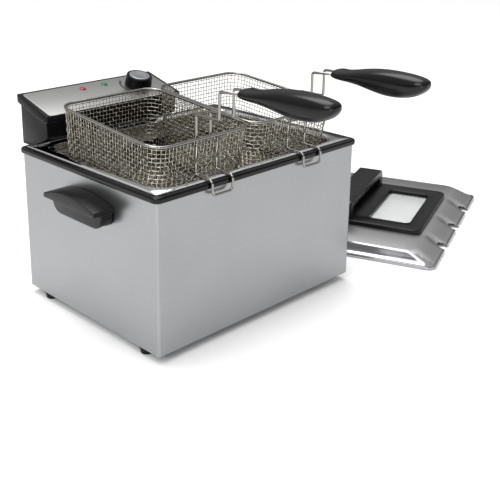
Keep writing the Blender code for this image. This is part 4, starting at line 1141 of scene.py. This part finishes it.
# ---- Lid window and handle ----------------------------------------------------------------
# A tempered glass pane from below, held by a black nylon frame that is one moulding with the
# square bow handle behind it, and two screws.
# The pane is half milky near-white, not clear: painted brightness that stands in for the lit table
# seen through the glass.
milky_pane_painted_bright = finish("glass_painted_milky_bright", {
    "Base Color": srgb("FAFCFC"), "Roughness": 0.03, "IOR": 1.5, "Transmission Weight": 0.5,
})
piece("tempered_pane", plate(0.170, 0.083, 0.012, 0.0185, 0.0217, 0.0004), milky_pane_painted_bright, "lid",
      ["lid_window"], on_lid @ Matrix.Translation((0, WINDOW_MIDDLE, 0)))
low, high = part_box("lid_handle")
frame_low = low.z
FRAME_THICK = 0.0065
frame_rings = [
    (0.156, 0.069, 0.009, frame_low, WINDOW_MIDDLE),
    (0.216, 0.162, 0.014, frame_low, FRAME_MIDDLE),
    (0.216, 0.162, 0.014, frame_low + FRAME_THICK - 0.0025, FRAME_MIDDLE),
    (0.2152, 0.1612, 0.0136, frame_low + FRAME_THICK - 0.0012, FRAME_MIDDLE),
    (0.2138, 0.1598, 0.0129, frame_low + FRAME_THICK - 0.0004, FRAME_MIDDLE),
    (0.2116, 0.1576, 0.0120, frame_low + FRAME_THICK, FRAME_MIDDLE),
    (0.1602, 0.0732, 0.0108, frame_low + FRAME_THICK, WINDOW_MIDDLE),
    (0.1580, 0.0710, 0.0098, frame_low + FRAME_THICK - 0.0008, WINDOW_MIDDLE),
    (0.1566, 0.0696, 0.0092, frame_low + FRAME_THICK - 0.0030, WINDOW_MIDDLE),
]
surround = stacked(frame_rings, ring=True, segments=8)
BOW_FRONT, BOW_REAR, BOW_HALF, BOW_WALL, BOW_LEG = 0.0245, 0.0665, 0.106, 0.014, 0.020
foot_z = frame_low + 0.001


def arc(centre, radius, start, end, steps):
    """Points on an arc, angles in degrees."""
    turns = [math.radians(start + (end - start) * i / steps) for i in range(steps + 1)]
    return [(centre[0] + radius * math.cos(a), centre[1] + radius * math.sin(a)) for a in turns]


inner_half = BOW_HALF - BOW_LEG
bow_line = [
    (BOW_HALF, foot_z), *arc((BOW_HALF - 0.016, high.z - 0.016), 0.016, 0, 90, 10),
    *arc((-BOW_HALF + 0.016, high.z - 0.016), 0.016, 90, 180, 10), (-BOW_HALF, foot_z),
    (-inner_half, foot_z),
    *arc((-inner_half + 0.010, high.z - BOW_WALL - 0.010), 0.010, 180, 90, 8),
    *arc((inner_half - 0.010, high.z - BOW_WALL - 0.010), 0.010, 90, 0, 8),
    (inner_half, foot_z),
]
bow = extruded(bow_line, -BOW_REAR, -BOW_FRONT)
soften(bow, 0.0022, 4, lambda e: abs(e.verts[0].co.x - e.verts[1].co.x) < 0.001
       and any(v.co.z > foot_z + 0.001 for v in e.verts), 50)
bmesh.ops.rotate(
    bow, verts=bow.verts, cent=(0, 0, 0), matrix=Matrix.Rotation(math.radians(-90), 3, "Z")
)
piece("moulded_lid_handle", combined(surround, ("UNION", bow)), nylon, "lid",
      ["lid_handle"], on_lid)
dress(zinc, "lid_screw_left", "lid_screw_right")

low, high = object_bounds()
